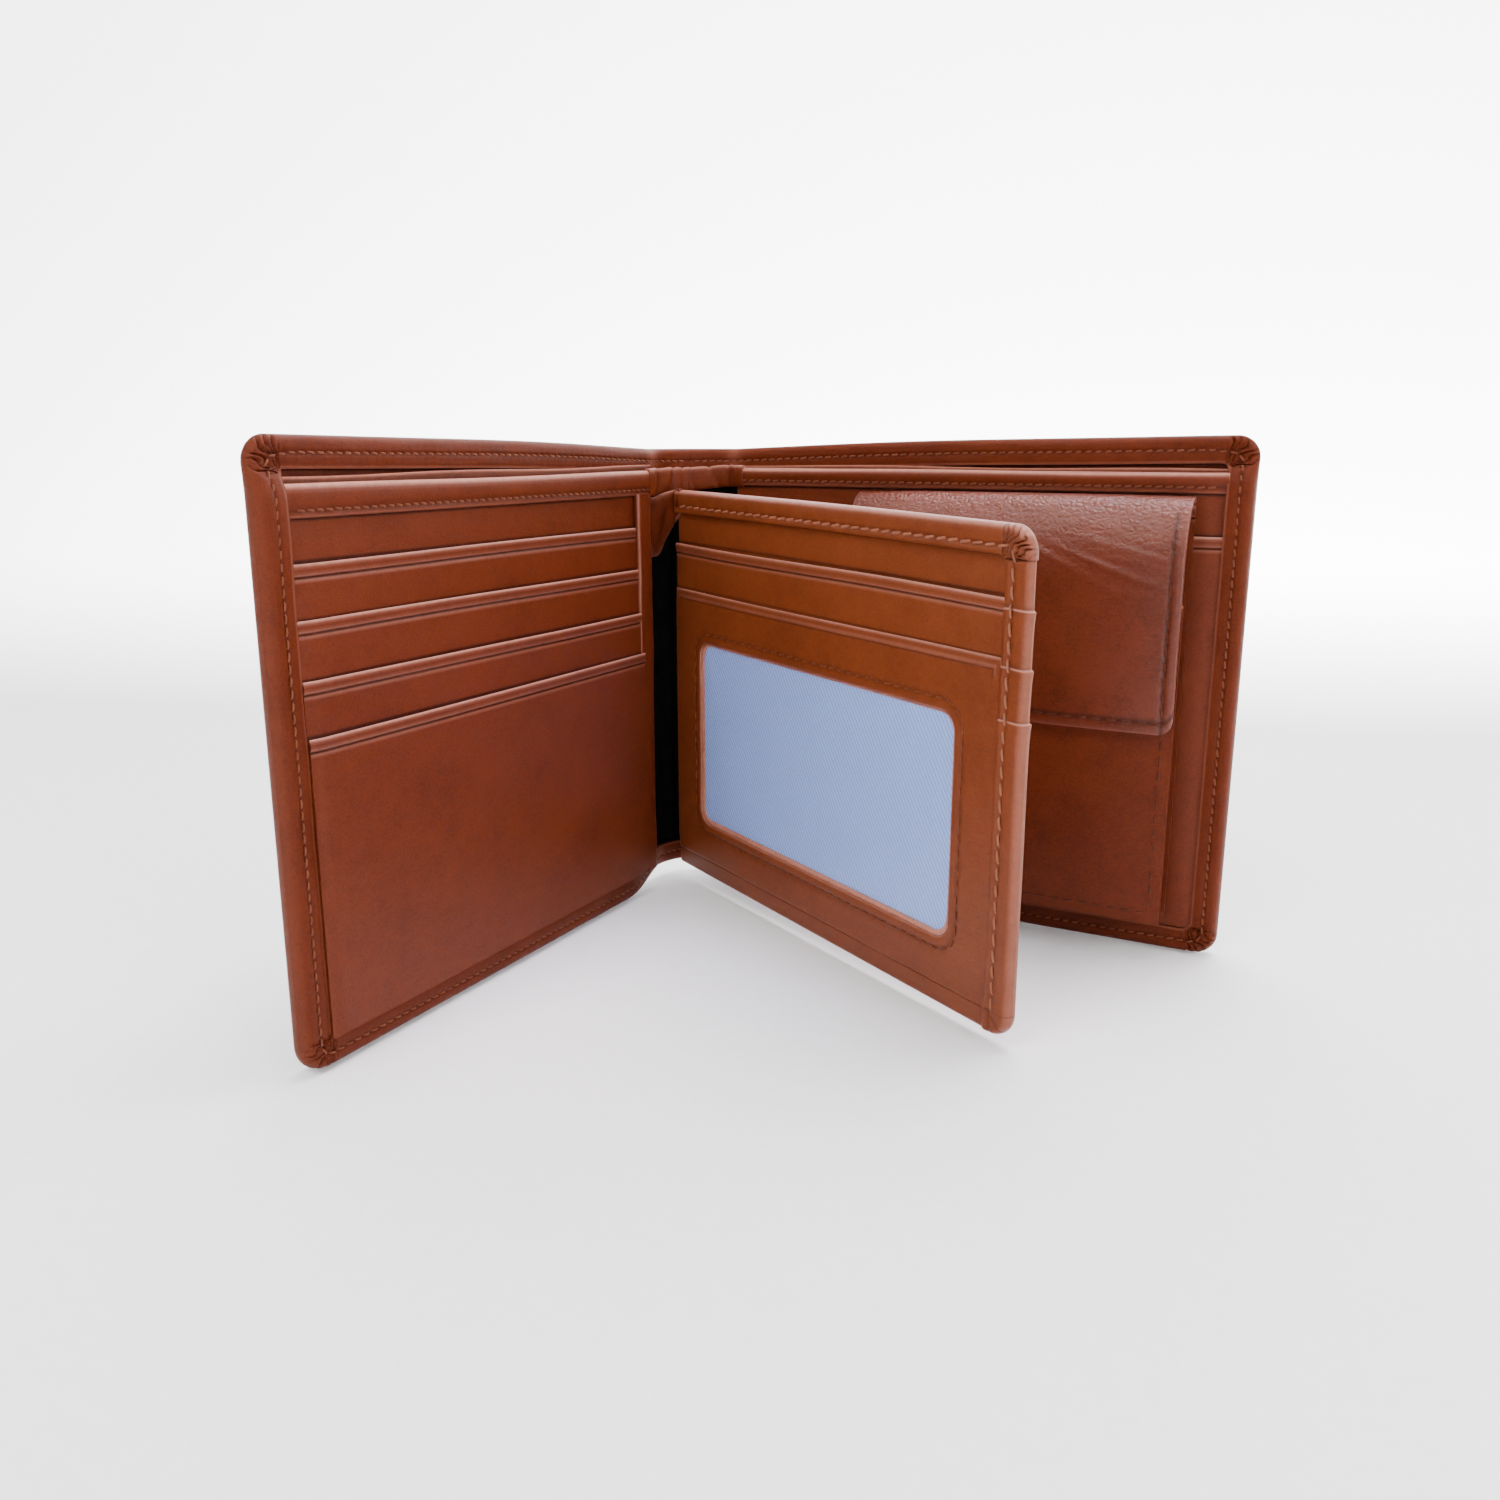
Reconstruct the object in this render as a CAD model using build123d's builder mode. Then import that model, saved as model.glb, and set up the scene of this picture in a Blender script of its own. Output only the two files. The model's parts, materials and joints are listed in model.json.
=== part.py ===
"""Bifold wallet standing open as a V: two sewn halves, a spine, a centre leaf and a snap coin pouch.

Every half is described by its own length (u, from its fold line outward), height (z) and
depth (v, from its outer leather face inward). Millimetres, +Z up, origin under the middle of
the standing wallet's bounding box. The right half runs along +X, the left half along -Y.
"""

import math
import os
from collections import namedtuple

from build123d import *

# Driving dimensions -----------------------------------------------------------------------
HEIGHT = 95.0
HALF_LENGTH = 103.0  # fold line to outer edge
SPINE_CHORD = 19.7  # distance between the two fold lines
FOLD_BEND = 45.0  # degrees turned at each fold line when the wallet stands at 90 degrees
LEAF_ANGLE = 28.5  # degrees between the centre leaf and the right half
LEAF_LENGTH = 100.2

COVER = 1.0  # outer leather
LEATHER = 0.8  # inner panels
THIN = 0.5  # linings, dividers and pocket facings
CORNER = 4.0  # radius of the rounded outer corners
BORDER_WIDTH = 4.8  # turned edge of the cover
SPINE_TOP = 92.5  # the cover dips towards the spine
SPINE_FOOT = 3.0
EASE = 16.0  # length over which the cover's edges curve down to the spine
FOLD_GAP = 0.25  # clearance between the rounded ends that meet at a fold line

BORDER_DEPTH = 4.0  # the border stands as deep as the inner panel it frames
BODY_BOTTOM = BORDER_WIDTH + 1.0  # inner panels start just above the bottom border
PANEL_END = HALF_LENGTH - BORDER_WIDTH  # and end just short of the outer border
DIVIDER_TOP = 90.0
DIVIDER_DEPTH = 1.6
PANEL_DEPTH = 2.7

RIGHT_HEM = (85.1, 89.2)
LEFT_HEM = (83.4, 88.3)
CARD_SLOT_TOPS = (77.3, 69.1, 60.3, 52.0)
CARD_SLOT_LENGTH = 30.0  # height of a pocket facing behind the next one
SLOT_THICKNESS = 0.42
LEFT_PANEL_START = 5.0
LEFT_STRIP_END = 9.0

HIDDEN_POCKET_TOP = 77.7
POUCH_SPAN = (30.0, 93.5)
POUCH_BACK_DEPTH = 4.1
POUCH_FRONT_DEPTH = 9.2
POUCH_BOTTOM = 6.9
POUCH_FRONT_TOP = 66.0
FLAP_BOTTOM = 43.0
FLAP_TOP = 85.0
FLAP_ROOT_DEPTH = 4.4
FLAP_DEPTH = 11.0
GUSSET = 0.4
GUSSET_FOLD = 2.6
MOVING_GAP = 0.3
FLAP_CUT = ((POUCH_SPAN[0], 61.9), (64.0, FLAP_BOTTOM))  # slanted so the open flap clears the leaf
SNAP_CENTRE = (60.5, 54.0)
SNAP_RADIUS = 5.2

LEAF_BOTTOM = 2.5
LEAF_TOP = 83.2
LEAF_HEM_BOTTOM = 78.5
LEAF_SLOT_TOP = 72.5
WINDOW_PANEL_TOP = 63.2
WINDOW = ((8.4, 85.4), (14.3, 52.7))  # along the leaf, heights
WINDOW_RADIUS = 3.2
LEAF_BACK_TOPS = (70.8, 62.0, 53.9)
LEAF_PIVOT_FROM_RIGHT = 13.6  # along the spine chord, from the right fold line
LEAF_PIVOT_INSET = 1.9  # outward of the chord, close to the spine lining
HINGE_STRIP = 2.8  # first fabric strip, from the lining to the leaf's own turning line
LEAF_START = 1.1  # leaf leather starts this far from its turning line
HINGE_HEIGHTS = (8.0, 80.0)

STITCH_PITCH = 2.7
STITCH = (1.9, 0.45, 0.25)
STITCH_INSET = 2.5

os.makedirs("parts", exist_ok=True)

# Layout -----------------------------------------------------------------------------------
SLANT = SPINE_CHORD * math.cos(math.radians(FOLD_BEND))  # the 90 degree V makes this equal both ways
REACH = (HALF_LENGTH + SLANT + COVER / 2) / 2  # half the side of the V's square footprint

Half = namedtuple("Half", "name plane sign fold")
RIGHT = Half(
    "right",
    Plane(origin=(SLANT + COVER / 2 - REACH, REACH, 0), x_dir=(1, 0, 0), z_dir=(0, -1, 0)),
    1,
    Vector(SLANT + COVER / 2 - REACH, REACH - COVER / 2),
)
LEFT = Half(
    "left",
    Plane(origin=(-REACH, REACH - SLANT - COVER / 2, 0), x_dir=(0, 1, 0), z_dir=(1, 0, 0)),
    -1,
    Vector(COVER / 2 - REACH, REACH - SLANT - COVER / 2),
)

CHORD = (RIGHT.fold - LEFT.fold).normalized()
OUTWARD = Vector(-CHORD.Y, CHORD.X)
SPINE_MIDDLE = (RIGHT.fold + LEFT.fold) * 0.5
SPINE_RADIUS = SPINE_CHORD / 2 / math.sin(math.radians(FOLD_BEND))  # runs smoothly into both halves
SPINE_CENTRE = -SPINE_RADIUS * math.cos(math.radians(FOLD_BEND))  # along OUTWARD, from the chord

LEAF_DIRECTION = Vector(math.cos(math.radians(LEAF_ANGLE)), -math.sin(math.radians(LEAF_ANGLE)))
LEAF_PIVOT = RIGHT.fold - CHORD * LEAF_PIVOT_FROM_RIGHT + OUTWARD * LEAF_PIVOT_INSET
LEAF_TURN_LINE = LEAF_PIVOT + LEAF_DIRECTION * HINGE_STRIP
LEAF_PLANE = Plane(
    origin=LEAF_TURN_LINE + LEAF_DIRECTION * LEAF_START,
    x_dir=LEAF_DIRECTION,
    z_dir=(LEAF_DIRECTION.Y, -LEAF_DIRECTION.X, 0),
)
LEAF_SPAN = (0.0, LEAF_LENGTH)


def save(name, builder):
    """Labels a finished piece and writes its STEP file."""
    builder.part.label = name
    export_step(builder.part, f"parts/{name}.step")


def level(height):
    """The plane across the spine at a height, x along the chord to the right, y outward."""
    return Plane(
        origin=(SPINE_MIDDLE.X, SPINE_MIDDLE.Y, height),
        x_dir=(CHORD.X, CHORD.Y, 0),
        z_dir=(0, 0, 1),
    )


def cross_section(along):
    """The plane across the right half at u = along, x inward (v), y up."""
    corner = RIGHT.plane.origin
    return Plane(origin=(corner.X + along, corner.Y, 0), x_dir=(0, -1, 0), z_dir=(-1, 0, 0))


def sheet(name, plane, span, heights, depth, thickness, sign=1, corner=0.0, opening=None):
    """A flat rectangular sheet with rounded outer corners, and a rounded window if asked."""
    with BuildPart() as piece:
        with BuildSketch(plane.offset(depth)) as profile:
            with Locations((sign * sum(span) / 2, sum(heights) / 2)):
                Rectangle(span[1] - span[0], heights[1] - heights[0])
            if corner:
                outer = profile.vertices().sort_by(Axis.X, reverse=sign > 0)[:2]
                fillet(outer, corner)
            if opening:
                (low_x, high_x), (low_z, high_z) = opening
                with Locations(((low_x + high_x) / 2, (low_z + high_z) / 2)):
                    RectangleRounded(
                        high_x - low_x, high_z - low_z, WINDOW_RADIUS, mode=Mode.SUBTRACT
                    )
        extrude(amount=thickness)
    save(name, piece)


def stitches(name, plane, rows, depth):
    """Thread bars laid end to end along straight rows, each row a pair of points on the plane."""
    with BuildPart() as thread:
        for start, end in rows:
            row = Vector(*end) - Vector(*start)
            count = int(row.length / STITCH_PITCH)
            with BuildSketch(plane.offset(depth)):
                for index in range(count):
                    spot = Vector(*start) + row * ((index + 0.5) / count)
                    with Locations(Location((spot.X, spot.Y), math.degrees(math.atan2(row.Y, row.X)))):
                        Rectangle(STITCH[0], STITCH[1])
            extrude(amount=STITCH[2])
    save(name, thread)


# Covers -----------------------------------------------------------------------------------
def cover(half):
    """Outer leather of one half: a rounded nose on the fold line, edges eased to the spine."""
    far = half.sign * HALF_LENGTH
    ease = half.sign * EASE
    with BuildPart() as piece:
        with BuildSketch(half.plane) as profile:
            with BuildLine():
                Line((0, SPINE_FOOT), (0, SPINE_TOP))
                TangentArc((ease, HEIGHT), (0, SPINE_TOP), tangent=(-half.sign, 0))
                Polyline((ease, HEIGHT), (far, HEIGHT), (far, 0), (ease, 0))
                TangentArc((ease, 0), (0, SPINE_FOOT), tangent=(-half.sign, 0))
            make_face()
            fillet(profile.vertices().sort_by(Axis.X, reverse=half.sign > 0)[:2], CORNER)
        extrude(amount=COVER)
        with BuildSketch(Plane.XY.offset(SPINE_FOOT)):
            with Locations((half.fold.X, half.fold.Y)):
                Circle(COVER / 2)
        extrude(amount=SPINE_TOP - SPINE_FOOT)
    save(f"{half.name}_cover", piece)


def border(half):
    """The cover's edge turned inward along the outer side and the bottom."""
    far = half.sign * HALF_LENGTH
    with BuildPart() as piece:
        with BuildSketch(half.plane.offset(COVER)) as profile:
            with BuildLine():
                Polyline(
                    (half.sign * EASE, 0),
                    (far, 0),
                    (far, HEIGHT),
                    (far - half.sign * BORDER_WIDTH, HEIGHT),
                    (far - half.sign * BORDER_WIDTH, BORDER_WIDTH),
                    (half.sign * EASE, BORDER_WIDTH),
                    close=True,
                )
            make_face()
            fillet(profile.vertices().sort_by(Axis.X, reverse=half.sign > 0)[:2], CORNER)
        extrude(amount=BORDER_DEPTH - COVER)
    save(f"{half.name}_border", piece)


for half in (RIGHT, LEFT):
    cover(half)
    border(half)
    sheet(
        f"{half.name}_top_turning",
        half.plane,
        (4.0, PANEL_END),
        (HEIGHT - BORDER_WIDTH + 0.1, HEIGHT - 0.4),
        COVER,
        THIN,
        half.sign,
    )
    side = half.sign * (HALF_LENGTH - STITCH_INSET)
    stitches(
        f"{half.name}_border_stitches",
        half.plane,
        [
            ((half.sign * (EASE + 1), STITCH_INSET), (side - half.sign, STITCH_INSET)),
            ((side, STITCH_INSET + 1.0), (side, HEIGHT - STITCH_INSET - 0.5)),
        ],
        BORDER_DEPTH,
    )
    sheet(
        f"{half.name}_divider",
        half.plane,
        (1.6, PANEL_END - MOVING_GAP),
        (BODY_BOTTOM, DIVIDER_TOP),
        DIVIDER_DEPTH,
        THIN,
        half.sign,
    )

# Left half: panel with four stepped card pockets --------------------------------------------
LEFT_END = PANEL_END - MOVING_GAP
FACING_DEPTH = PANEL_DEPTH + THIN
sheet(
    "left_inner_panel",
    LEFT.plane,
    (LEFT_PANEL_START, LEFT_END),
    (BODY_BOTTOM, LEFT_HEM[1]),
    PANEL_DEPTH,
    THIN,
    LEFT.sign,
)
sheet("left_top_hem", LEFT.plane, (2.5, LEFT_END), LEFT_HEM, FACING_DEPTH, 0.7, LEFT.sign)
sheet(
    "left_spine_strip",
    LEFT.plane,
    (LEFT_PANEL_START, LEFT_STRIP_END),
    (BODY_BOTTOM, LEFT_HEM[0] - 0.2),
    FACING_DEPTH,
    0.7,
    LEFT.sign,
)
for number, top in enumerate(CARD_SLOT_TOPS):
    last = number == len(CARD_SLOT_TOPS) - 1
    sheet(
        f"card_slot_{number + 1}",
        LEFT.plane,
        (LEFT_STRIP_END + 0.2, LEFT_END),
        (BODY_BOTTOM if last else top - CARD_SLOT_LENGTH, top),
        FACING_DEPTH + number * SLOT_THICKNESS,
        SLOT_THICKNESS,
        LEFT.sign,
    )
stitches(
    "left_hem_stitches",
    LEFT.plane,
    [((-3.5, LEFT_HEM[0] + 1.2), (1.0 - LEFT_END, LEFT_HEM[0] + 1.2))],
    FACING_DEPTH + 0.7,
)

# Right half: panel, hidden pocket and gusseted coin pouch -----------------------------------
RIGHT_FACING = PANEL_DEPTH + LEATHER
RIGHT_PANEL_SPAN = (1.6, PANEL_END - MOVING_GAP)
POUCH_BACK_FACE = POUCH_BACK_DEPTH + THIN
GUSSET_REACH = POUCH_FRONT_DEPTH - MOVING_GAP

sheet(
    "right_inner_panel",
    RIGHT.plane,
    RIGHT_PANEL_SPAN,
    (BODY_BOTTOM, RIGHT_HEM[1]),
    PANEL_DEPTH,
    LEATHER,
)
sheet("right_top_hem", RIGHT.plane, RIGHT_PANEL_SPAN, RIGHT_HEM, RIGHT_FACING, 0.6)
sheet(
    "hidden_pocket",
    RIGHT.plane,
    RIGHT_PANEL_SPAN,
    (BODY_BOTTOM, HIDDEN_POCKET_TOP),
    RIGHT_FACING,
    THIN,
)
sheet(
    "pouch_back",
    RIGHT.plane,
    POUCH_SPAN,
    (POUCH_BOTTOM, FLAP_TOP - 2.0),
    POUCH_BACK_DEPTH,
    THIN,
)
stitches(
    "right_hem_stitches",
    RIGHT.plane,
    [((2.5, RIGHT_HEM[0] + 1.2), (PANEL_END - 1.5, RIGHT_HEM[0] + 1.2))],
    RIGHT_FACING + 0.6,
)


def side_gusset(name, edge, inward):
    """A folded side wall of the pouch: its crease points into the pouch."""
    corner = RIGHT.plane.origin
    middle = (POUCH_BACK_FACE + GUSSET_REACH) / 2
    with BuildPart() as piece:
        with BuildSketch(Plane(origin=(corner.X, corner.Y, POUCH_BOTTOM + 1.0))):
            with BuildLine():
                Polyline(
                    (edge, -POUCH_BACK_FACE),
                    (edge + inward * GUSSET_FOLD, -middle),
                    (edge, -GUSSET_REACH),
                    (edge + inward * GUSSET, -GUSSET_REACH),
                    (edge + inward * (GUSSET_FOLD + GUSSET), -middle),
                    (edge + inward * GUSSET, -POUCH_BACK_FACE),
                    close=True,
                )
            make_face()
        extrude(amount=POUCH_FRONT_TOP - POUCH_BOTTOM - 3.0)
    save(name, piece)


side_gusset("pouch_gusset_inner", POUCH_SPAN[0] + 0.4, 1)
side_gusset("pouch_gusset_outer", POUCH_SPAN[1] - 0.4, -1)

with BuildPart() as pouch_gusset_bottom:
    with BuildSketch(cross_section(POUCH_SPAN[1] - 0.4)):
        with Locations(((POUCH_BACK_FACE + GUSSET_REACH) / 2, POUCH_BOTTOM + 0.4)):
            Rectangle(GUSSET_REACH - POUCH_BACK_FACE, GUSSET)
    extrude(amount=POUCH_SPAN[1] - POUCH_SPAN[0] - 0.8)
save("pouch_gusset_bottom", pouch_gusset_bottom)

sheet(
    "pouch_front",
    RIGHT.plane,
    POUCH_SPAN,
    (POUCH_BOTTOM, POUCH_FRONT_TOP),
    POUCH_FRONT_DEPTH,
    LEATHER,
)
stitches(
    "pouch_stitches",
    RIGHT.plane,
    [
        ((POUCH_SPAN[0] + 2, POUCH_BOTTOM + 2), (POUCH_SPAN[1] - 3, POUCH_BOTTOM + 2)),
        ((POUCH_SPAN[1] - 2, POUCH_BOTTOM + 3), (POUCH_SPAN[1] - 2, FLAP_BOTTOM - 2)),
    ],
    POUCH_FRONT_DEPTH + LEATHER,
)

# Snap: the stud on the pouch front stands inside the socket ring under the flap --------------
POUCH_FACE = POUCH_FRONT_DEPTH + LEATHER
with BuildPart() as snap_stud:
    with BuildSketch(RIGHT.plane.offset(POUCH_FACE)):
        with Locations(SNAP_CENTRE):
            Circle(SNAP_RADIUS - 0.7)
    extrude(amount=0.2)
    with BuildSketch(RIGHT.plane.offset(POUCH_FACE + 0.2)):
        with Locations(SNAP_CENTRE):
            Circle(1.9)
    extrude(amount=0.6)
save("snap_stud", snap_stud)

with BuildPart() as snap_socket:
    with BuildSketch(RIGHT.plane.offset(FLAP_DEPTH)):
        with Locations(SNAP_CENTRE):
            Circle(SNAP_RADIUS - 0.7)
            Circle(2.4, mode=Mode.SUBTRACT)
    extrude(amount=-0.5)
save("snap_socket", snap_socket)

with BuildPart() as snap_cap:
    with BuildSketch(RIGHT.plane.offset(FLAP_DEPTH + COVER)):
        with Locations(SNAP_CENTRE):
            Circle(SNAP_RADIUS)
    extrude(amount=0.6)
    fillet(snap_cap.faces().sort_by(Axis.Y)[0].edges(), 0.4)
save("snap_cap", snap_cap)

# Coin flap: rooted under the hem, over the rolled crown and down the pouch front ---------------
with BuildPart() as coin_flap:
    with BuildSketch(cross_section(POUCH_SPAN[1])):
        with BuildLine():
            Polyline(
                (FLAP_ROOT_DEPTH, FLAP_TOP - COVER),
                (FLAP_ROOT_DEPTH, FLAP_TOP),
                (FLAP_DEPTH - 1.4, FLAP_TOP),
            )
            RadiusArc((FLAP_DEPTH - 1.4, FLAP_TOP), (FLAP_DEPTH + COVER, FLAP_TOP - 2.4), 2.4)
            Polyline(
                (FLAP_DEPTH + COVER, FLAP_TOP - 2.4),
                (FLAP_DEPTH + COVER, FLAP_BOTTOM),
                (FLAP_DEPTH, FLAP_BOTTOM),
                (FLAP_DEPTH, FLAP_TOP - 2.4),
            )
            RadiusArc(
                (FLAP_DEPTH, FLAP_TOP - 2.4),
                (FLAP_DEPTH - 1.4, FLAP_TOP - COVER),
                -1.4,
            )
            Line((FLAP_DEPTH - 1.4, FLAP_TOP - COVER), (FLAP_ROOT_DEPTH, FLAP_TOP - COVER))
        make_face()
    extrude(amount=POUCH_SPAN[1] - POUCH_SPAN[0])
    with BuildSketch(RIGHT.plane):
        Polygon(
            FLAP_CUT[0],
            FLAP_CUT[1],
            (FLAP_CUT[1][0], FLAP_BOTTOM - 1.0),
            (POUCH_SPAN[0] - 1.0, FLAP_BOTTOM - 1.0),
            (POUCH_SPAN[0] - 1.0, FLAP_CUT[0][1]),
            align=None,
        )
    extrude(amount=FLAP_DEPTH + 2 * COVER, mode=Mode.SUBTRACT)
    lower = coin_flap.edges().filter_by(Axis.Y).group_by(Axis.Z)[0]
    fillet(lower, 3.0)
save("coin_flap", coin_flap)
stitches(
    "flap_stitches",
    RIGHT.plane,
    [
        ((FLAP_CUT[1][0] + 1.5, FLAP_BOTTOM + 2), (POUCH_SPAN[1] - 3, FLAP_BOTTOM + 2)),
        ((POUCH_SPAN[1] - 2, FLAP_BOTTOM + 3), (POUCH_SPAN[1] - 2, FLAP_TOP - 4)),
        ((POUCH_SPAN[0] + 2, FLAP_CUT[0][1] + 3), (POUCH_SPAN[0] + 2, FLAP_TOP - 4)),
        (
            (FLAP_CUT[0][0] + 2.7, FLAP_CUT[0][1] + 0.8),
            (FLAP_CUT[1][0] + 0.1, FLAP_CUT[1][1] + 2.2),
        ),
    ],
    FLAP_DEPTH + COVER,
)


# Spine --------------------------------------------------------------------------------------
def spine_band(name, outer, inner, heights, trim):
    """A curved band between two radii about the spine's centre, cut off trim outside the chord."""
    with BuildPart() as band:
        with BuildSketch(level(heights[0])):
            with Locations((0, SPINE_CENTRE)):
                Circle(outer)
                Circle(inner, mode=Mode.SUBTRACT)
            with Locations((0, trim + SPINE_CHORD / 2)):
                Rectangle(2 * SPINE_CHORD, SPINE_CHORD, mode=Mode.INTERSECT)
            with Locations((SPINE_CHORD / 2, 0), (-SPINE_CHORD / 2, 0)):
                Circle(COVER / 2 + FOLD_GAP, mode=Mode.SUBTRACT)
        extrude(amount=heights[1] - heights[0])
    save(name, band)


LINING_OUTER = SPINE_RADIUS - COVER / 2
LINING_INNER = LINING_OUTER - THIN
BAND_TRIM = 0.6  # inner bands stop short of the panels that fold up beside them
spine_band("spine_cover", SPINE_RADIUS + COVER / 2, LINING_OUTER, (SPINE_FOOT, SPINE_TOP), 0.0)
spine_band("spine_lining", LINING_OUTER, LINING_INNER, (SPINE_FOOT + 0.5, SPINE_TOP - 2.5), BAND_TRIM)
spine_band("spine_hem_band", LINING_INNER, LINING_INNER - 0.7, (LEFT_HEM[0] + 0.3, 88.7), BAND_TRIM)
spine_band("spine_foot_band", LINING_INNER, LINING_INNER - 0.7, (SPINE_FOOT + 0.5, 7.5), BAND_TRIM)

# Leaf hinge: a fabric root on the lining, a strip, and the narrow strip sewn to the leaf --------
with BuildPart() as leaf_hinge_root:
    with BuildSketch(level(HINGE_HEIGHTS[0])):
        along = SPINE_CHORD / 2 - LEAF_PIVOT_FROM_RIGHT
        lining_face = SPINE_CENTRE + math.sqrt(LINING_INNER**2 - (abs(along) - 0.6) ** 2)
        low = LEAF_PIVOT_INSET + MOVING_GAP
        with Locations((along, (low + lining_face) / 2)):
            Rectangle(1.2, lining_face - low)
        with Locations((0, SPINE_CENTRE)):
            Circle(LINING_INNER, mode=Mode.INTERSECT)
    extrude(amount=HINGE_HEIGHTS[1] - HINGE_HEIGHTS[0])
save("leaf_hinge_root", leaf_hinge_root)

sheet(
    "leaf_hinge_strip",
    LEAF_PLANE,
    (MOVING_GAP - HINGE_STRIP - LEAF_START, -MOVING_GAP - LEAF_START),
    HINGE_HEIGHTS,
    -THIN / 2,
    THIN,
)
sheet(
    "leaf_hinge_fold",
    LEAF_PLANE,
    (MOVING_GAP - LEAF_START, 0.0),
    HINGE_HEIGHTS,
    -THIN / 2,
    THIN,
)

# Centre leaf, layer by layer: depth grows towards the window side -------------------------------
LEAF_HEIGHTS = (LEAF_BOTTOM, LEAF_TOP)
CORE_BACK = -0.3
CORE_FRONT = 0.1
FRONT_FACE = 0.45
SLOT_FACE = 0.75
FRAME_FACE = 1.1
BACK_FACE = -0.55
BACK_STEP = 0.18
FILM_SPAN = (WINDOW[0][0] - 3.0, WINDOW[0][1] + 3.0)
FILM_HEIGHTS = (WINDOW[1][0] - 3.0, WINDOW[1][1] + 3.0)

sheet("leaf_core", LEAF_PLANE, LEAF_SPAN, LEAF_HEIGHTS, CORE_BACK, CORE_FRONT - CORE_BACK, corner=CORNER)
sheet("leaf_front_panel", LEAF_PLANE, LEAF_SPAN, LEAF_HEIGHTS, CORE_FRONT, 0.35, corner=CORNER)
sheet("window_lining", LEAF_PLANE, FILM_SPAN, FILM_HEIGHTS, FRONT_FACE, 0.12)
sheet("window_film", LEAF_PLANE, FILM_SPAN, FILM_HEIGHTS, FRONT_FACE + 0.12, 0.15)
sheet(
    "leaf_card_slot",
    LEAF_PLANE,
    LEAF_SPAN,
    (FILM_HEIGHTS[1] + 0.5, LEAF_SLOT_TOP),
    FRONT_FACE,
    SLOT_FACE - FRONT_FACE,
)
sheet(
    "window_frame",
    LEAF_PLANE,
    LEAF_SPAN,
    (LEAF_BOTTOM, WINDOW_PANEL_TOP),
    SLOT_FACE,
    FRAME_FACE - SLOT_FACE,
    opening=WINDOW,
)
sheet(
    "leaf_front_hem",
    LEAF_PLANE,
    (0.0, LEAF_LENGTH - CORNER),
    (LEAF_HEM_BOTTOM, LEAF_TOP),
    FRONT_FACE,
    FRAME_FACE - FRONT_FACE,
)
sheet("leaf_back_panel", LEAF_PLANE, LEAF_SPAN, LEAF_HEIGHTS, BACK_FACE, CORE_BACK - BACK_FACE, corner=CORNER)
sheet(
    "leaf_back_hem",
    LEAF_PLANE,
    (0.0, LEAF_LENGTH - CORNER),
    (LEAF_HEM_BOTTOM, LEAF_TOP),
    -FRAME_FACE,
    FRAME_FACE + BACK_FACE,
)
for number, top in enumerate(LEAF_BACK_TOPS):
    sheet(
        f"leaf_back_pocket_{number + 1}",
        LEAF_PLANE,
        LEAF_SPAN,
        (LEAF_BOTTOM, top),
        BACK_FACE - (number + 1) * BACK_STEP,
        BACK_STEP,
        corner=0.0,
    )
stitches(
    "window_stitches",
    LEAF_PLANE,
    [
        ((WINDOW[0][0] - 2, WINDOW[1][0] - 2), (WINDOW[0][1] + 2, WINDOW[1][0] - 2)),
        ((WINDOW[0][1] + 2, WINDOW[1][0] - 2), (WINDOW[0][1] + 2, WINDOW[1][1] + 2)),
        ((WINDOW[0][1] + 2, WINDOW[1][1] + 2), (WINDOW[0][0] - 2, WINDOW[1][1] + 2)),
        ((WINDOW[0][0] - 2, WINDOW[1][1] + 2), (WINDOW[0][0] - 2, WINDOW[1][0] - 2)),
    ],
    FRAME_FACE,
)
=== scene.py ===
"""Looks of the bifold wallet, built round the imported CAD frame.

Leather pieces are modelled flat and then placed. The wallet's skin is one flat strip: s runs
along it from the middle of the spine (right half positive), z is height, and v is depth from the
outer face inward. The centre leaf has its own flat space: its length, z, and w towards the window
side. All lengths are millimetres until mesh() turns them into metres.
"""

import json
import math
from collections import namedtuple

import bpy
import numpy as np
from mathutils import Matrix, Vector


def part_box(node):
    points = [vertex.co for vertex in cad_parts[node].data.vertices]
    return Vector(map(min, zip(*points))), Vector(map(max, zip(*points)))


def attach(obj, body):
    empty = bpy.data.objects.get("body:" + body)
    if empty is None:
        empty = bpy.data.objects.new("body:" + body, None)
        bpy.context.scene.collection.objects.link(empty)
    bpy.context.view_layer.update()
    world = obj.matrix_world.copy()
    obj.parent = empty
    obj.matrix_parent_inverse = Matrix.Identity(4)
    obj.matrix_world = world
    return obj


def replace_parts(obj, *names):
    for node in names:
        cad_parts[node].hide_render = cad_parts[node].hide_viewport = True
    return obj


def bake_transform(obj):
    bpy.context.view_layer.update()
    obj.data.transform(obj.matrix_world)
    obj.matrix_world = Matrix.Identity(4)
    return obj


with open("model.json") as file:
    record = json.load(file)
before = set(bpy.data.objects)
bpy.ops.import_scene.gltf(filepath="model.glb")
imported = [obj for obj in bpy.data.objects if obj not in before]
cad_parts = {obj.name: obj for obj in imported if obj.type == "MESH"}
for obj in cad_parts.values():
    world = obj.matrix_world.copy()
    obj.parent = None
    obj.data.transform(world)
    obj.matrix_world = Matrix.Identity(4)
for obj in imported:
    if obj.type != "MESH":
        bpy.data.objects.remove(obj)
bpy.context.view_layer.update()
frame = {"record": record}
rng = np.random.default_rng(11)

MM = 1000.0
SIDES = ((1, "right"), (-1, "left"))
joints = {j["name"]: j for j in frame["record"]["behaviour"]["joints"]}


def joint_spot(name):
    return np.array(joints[name]["pos_m"]) * MM


def node_box(name):
    low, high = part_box(name)
    return np.array(low) * MM, np.array(high) * MM


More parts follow.
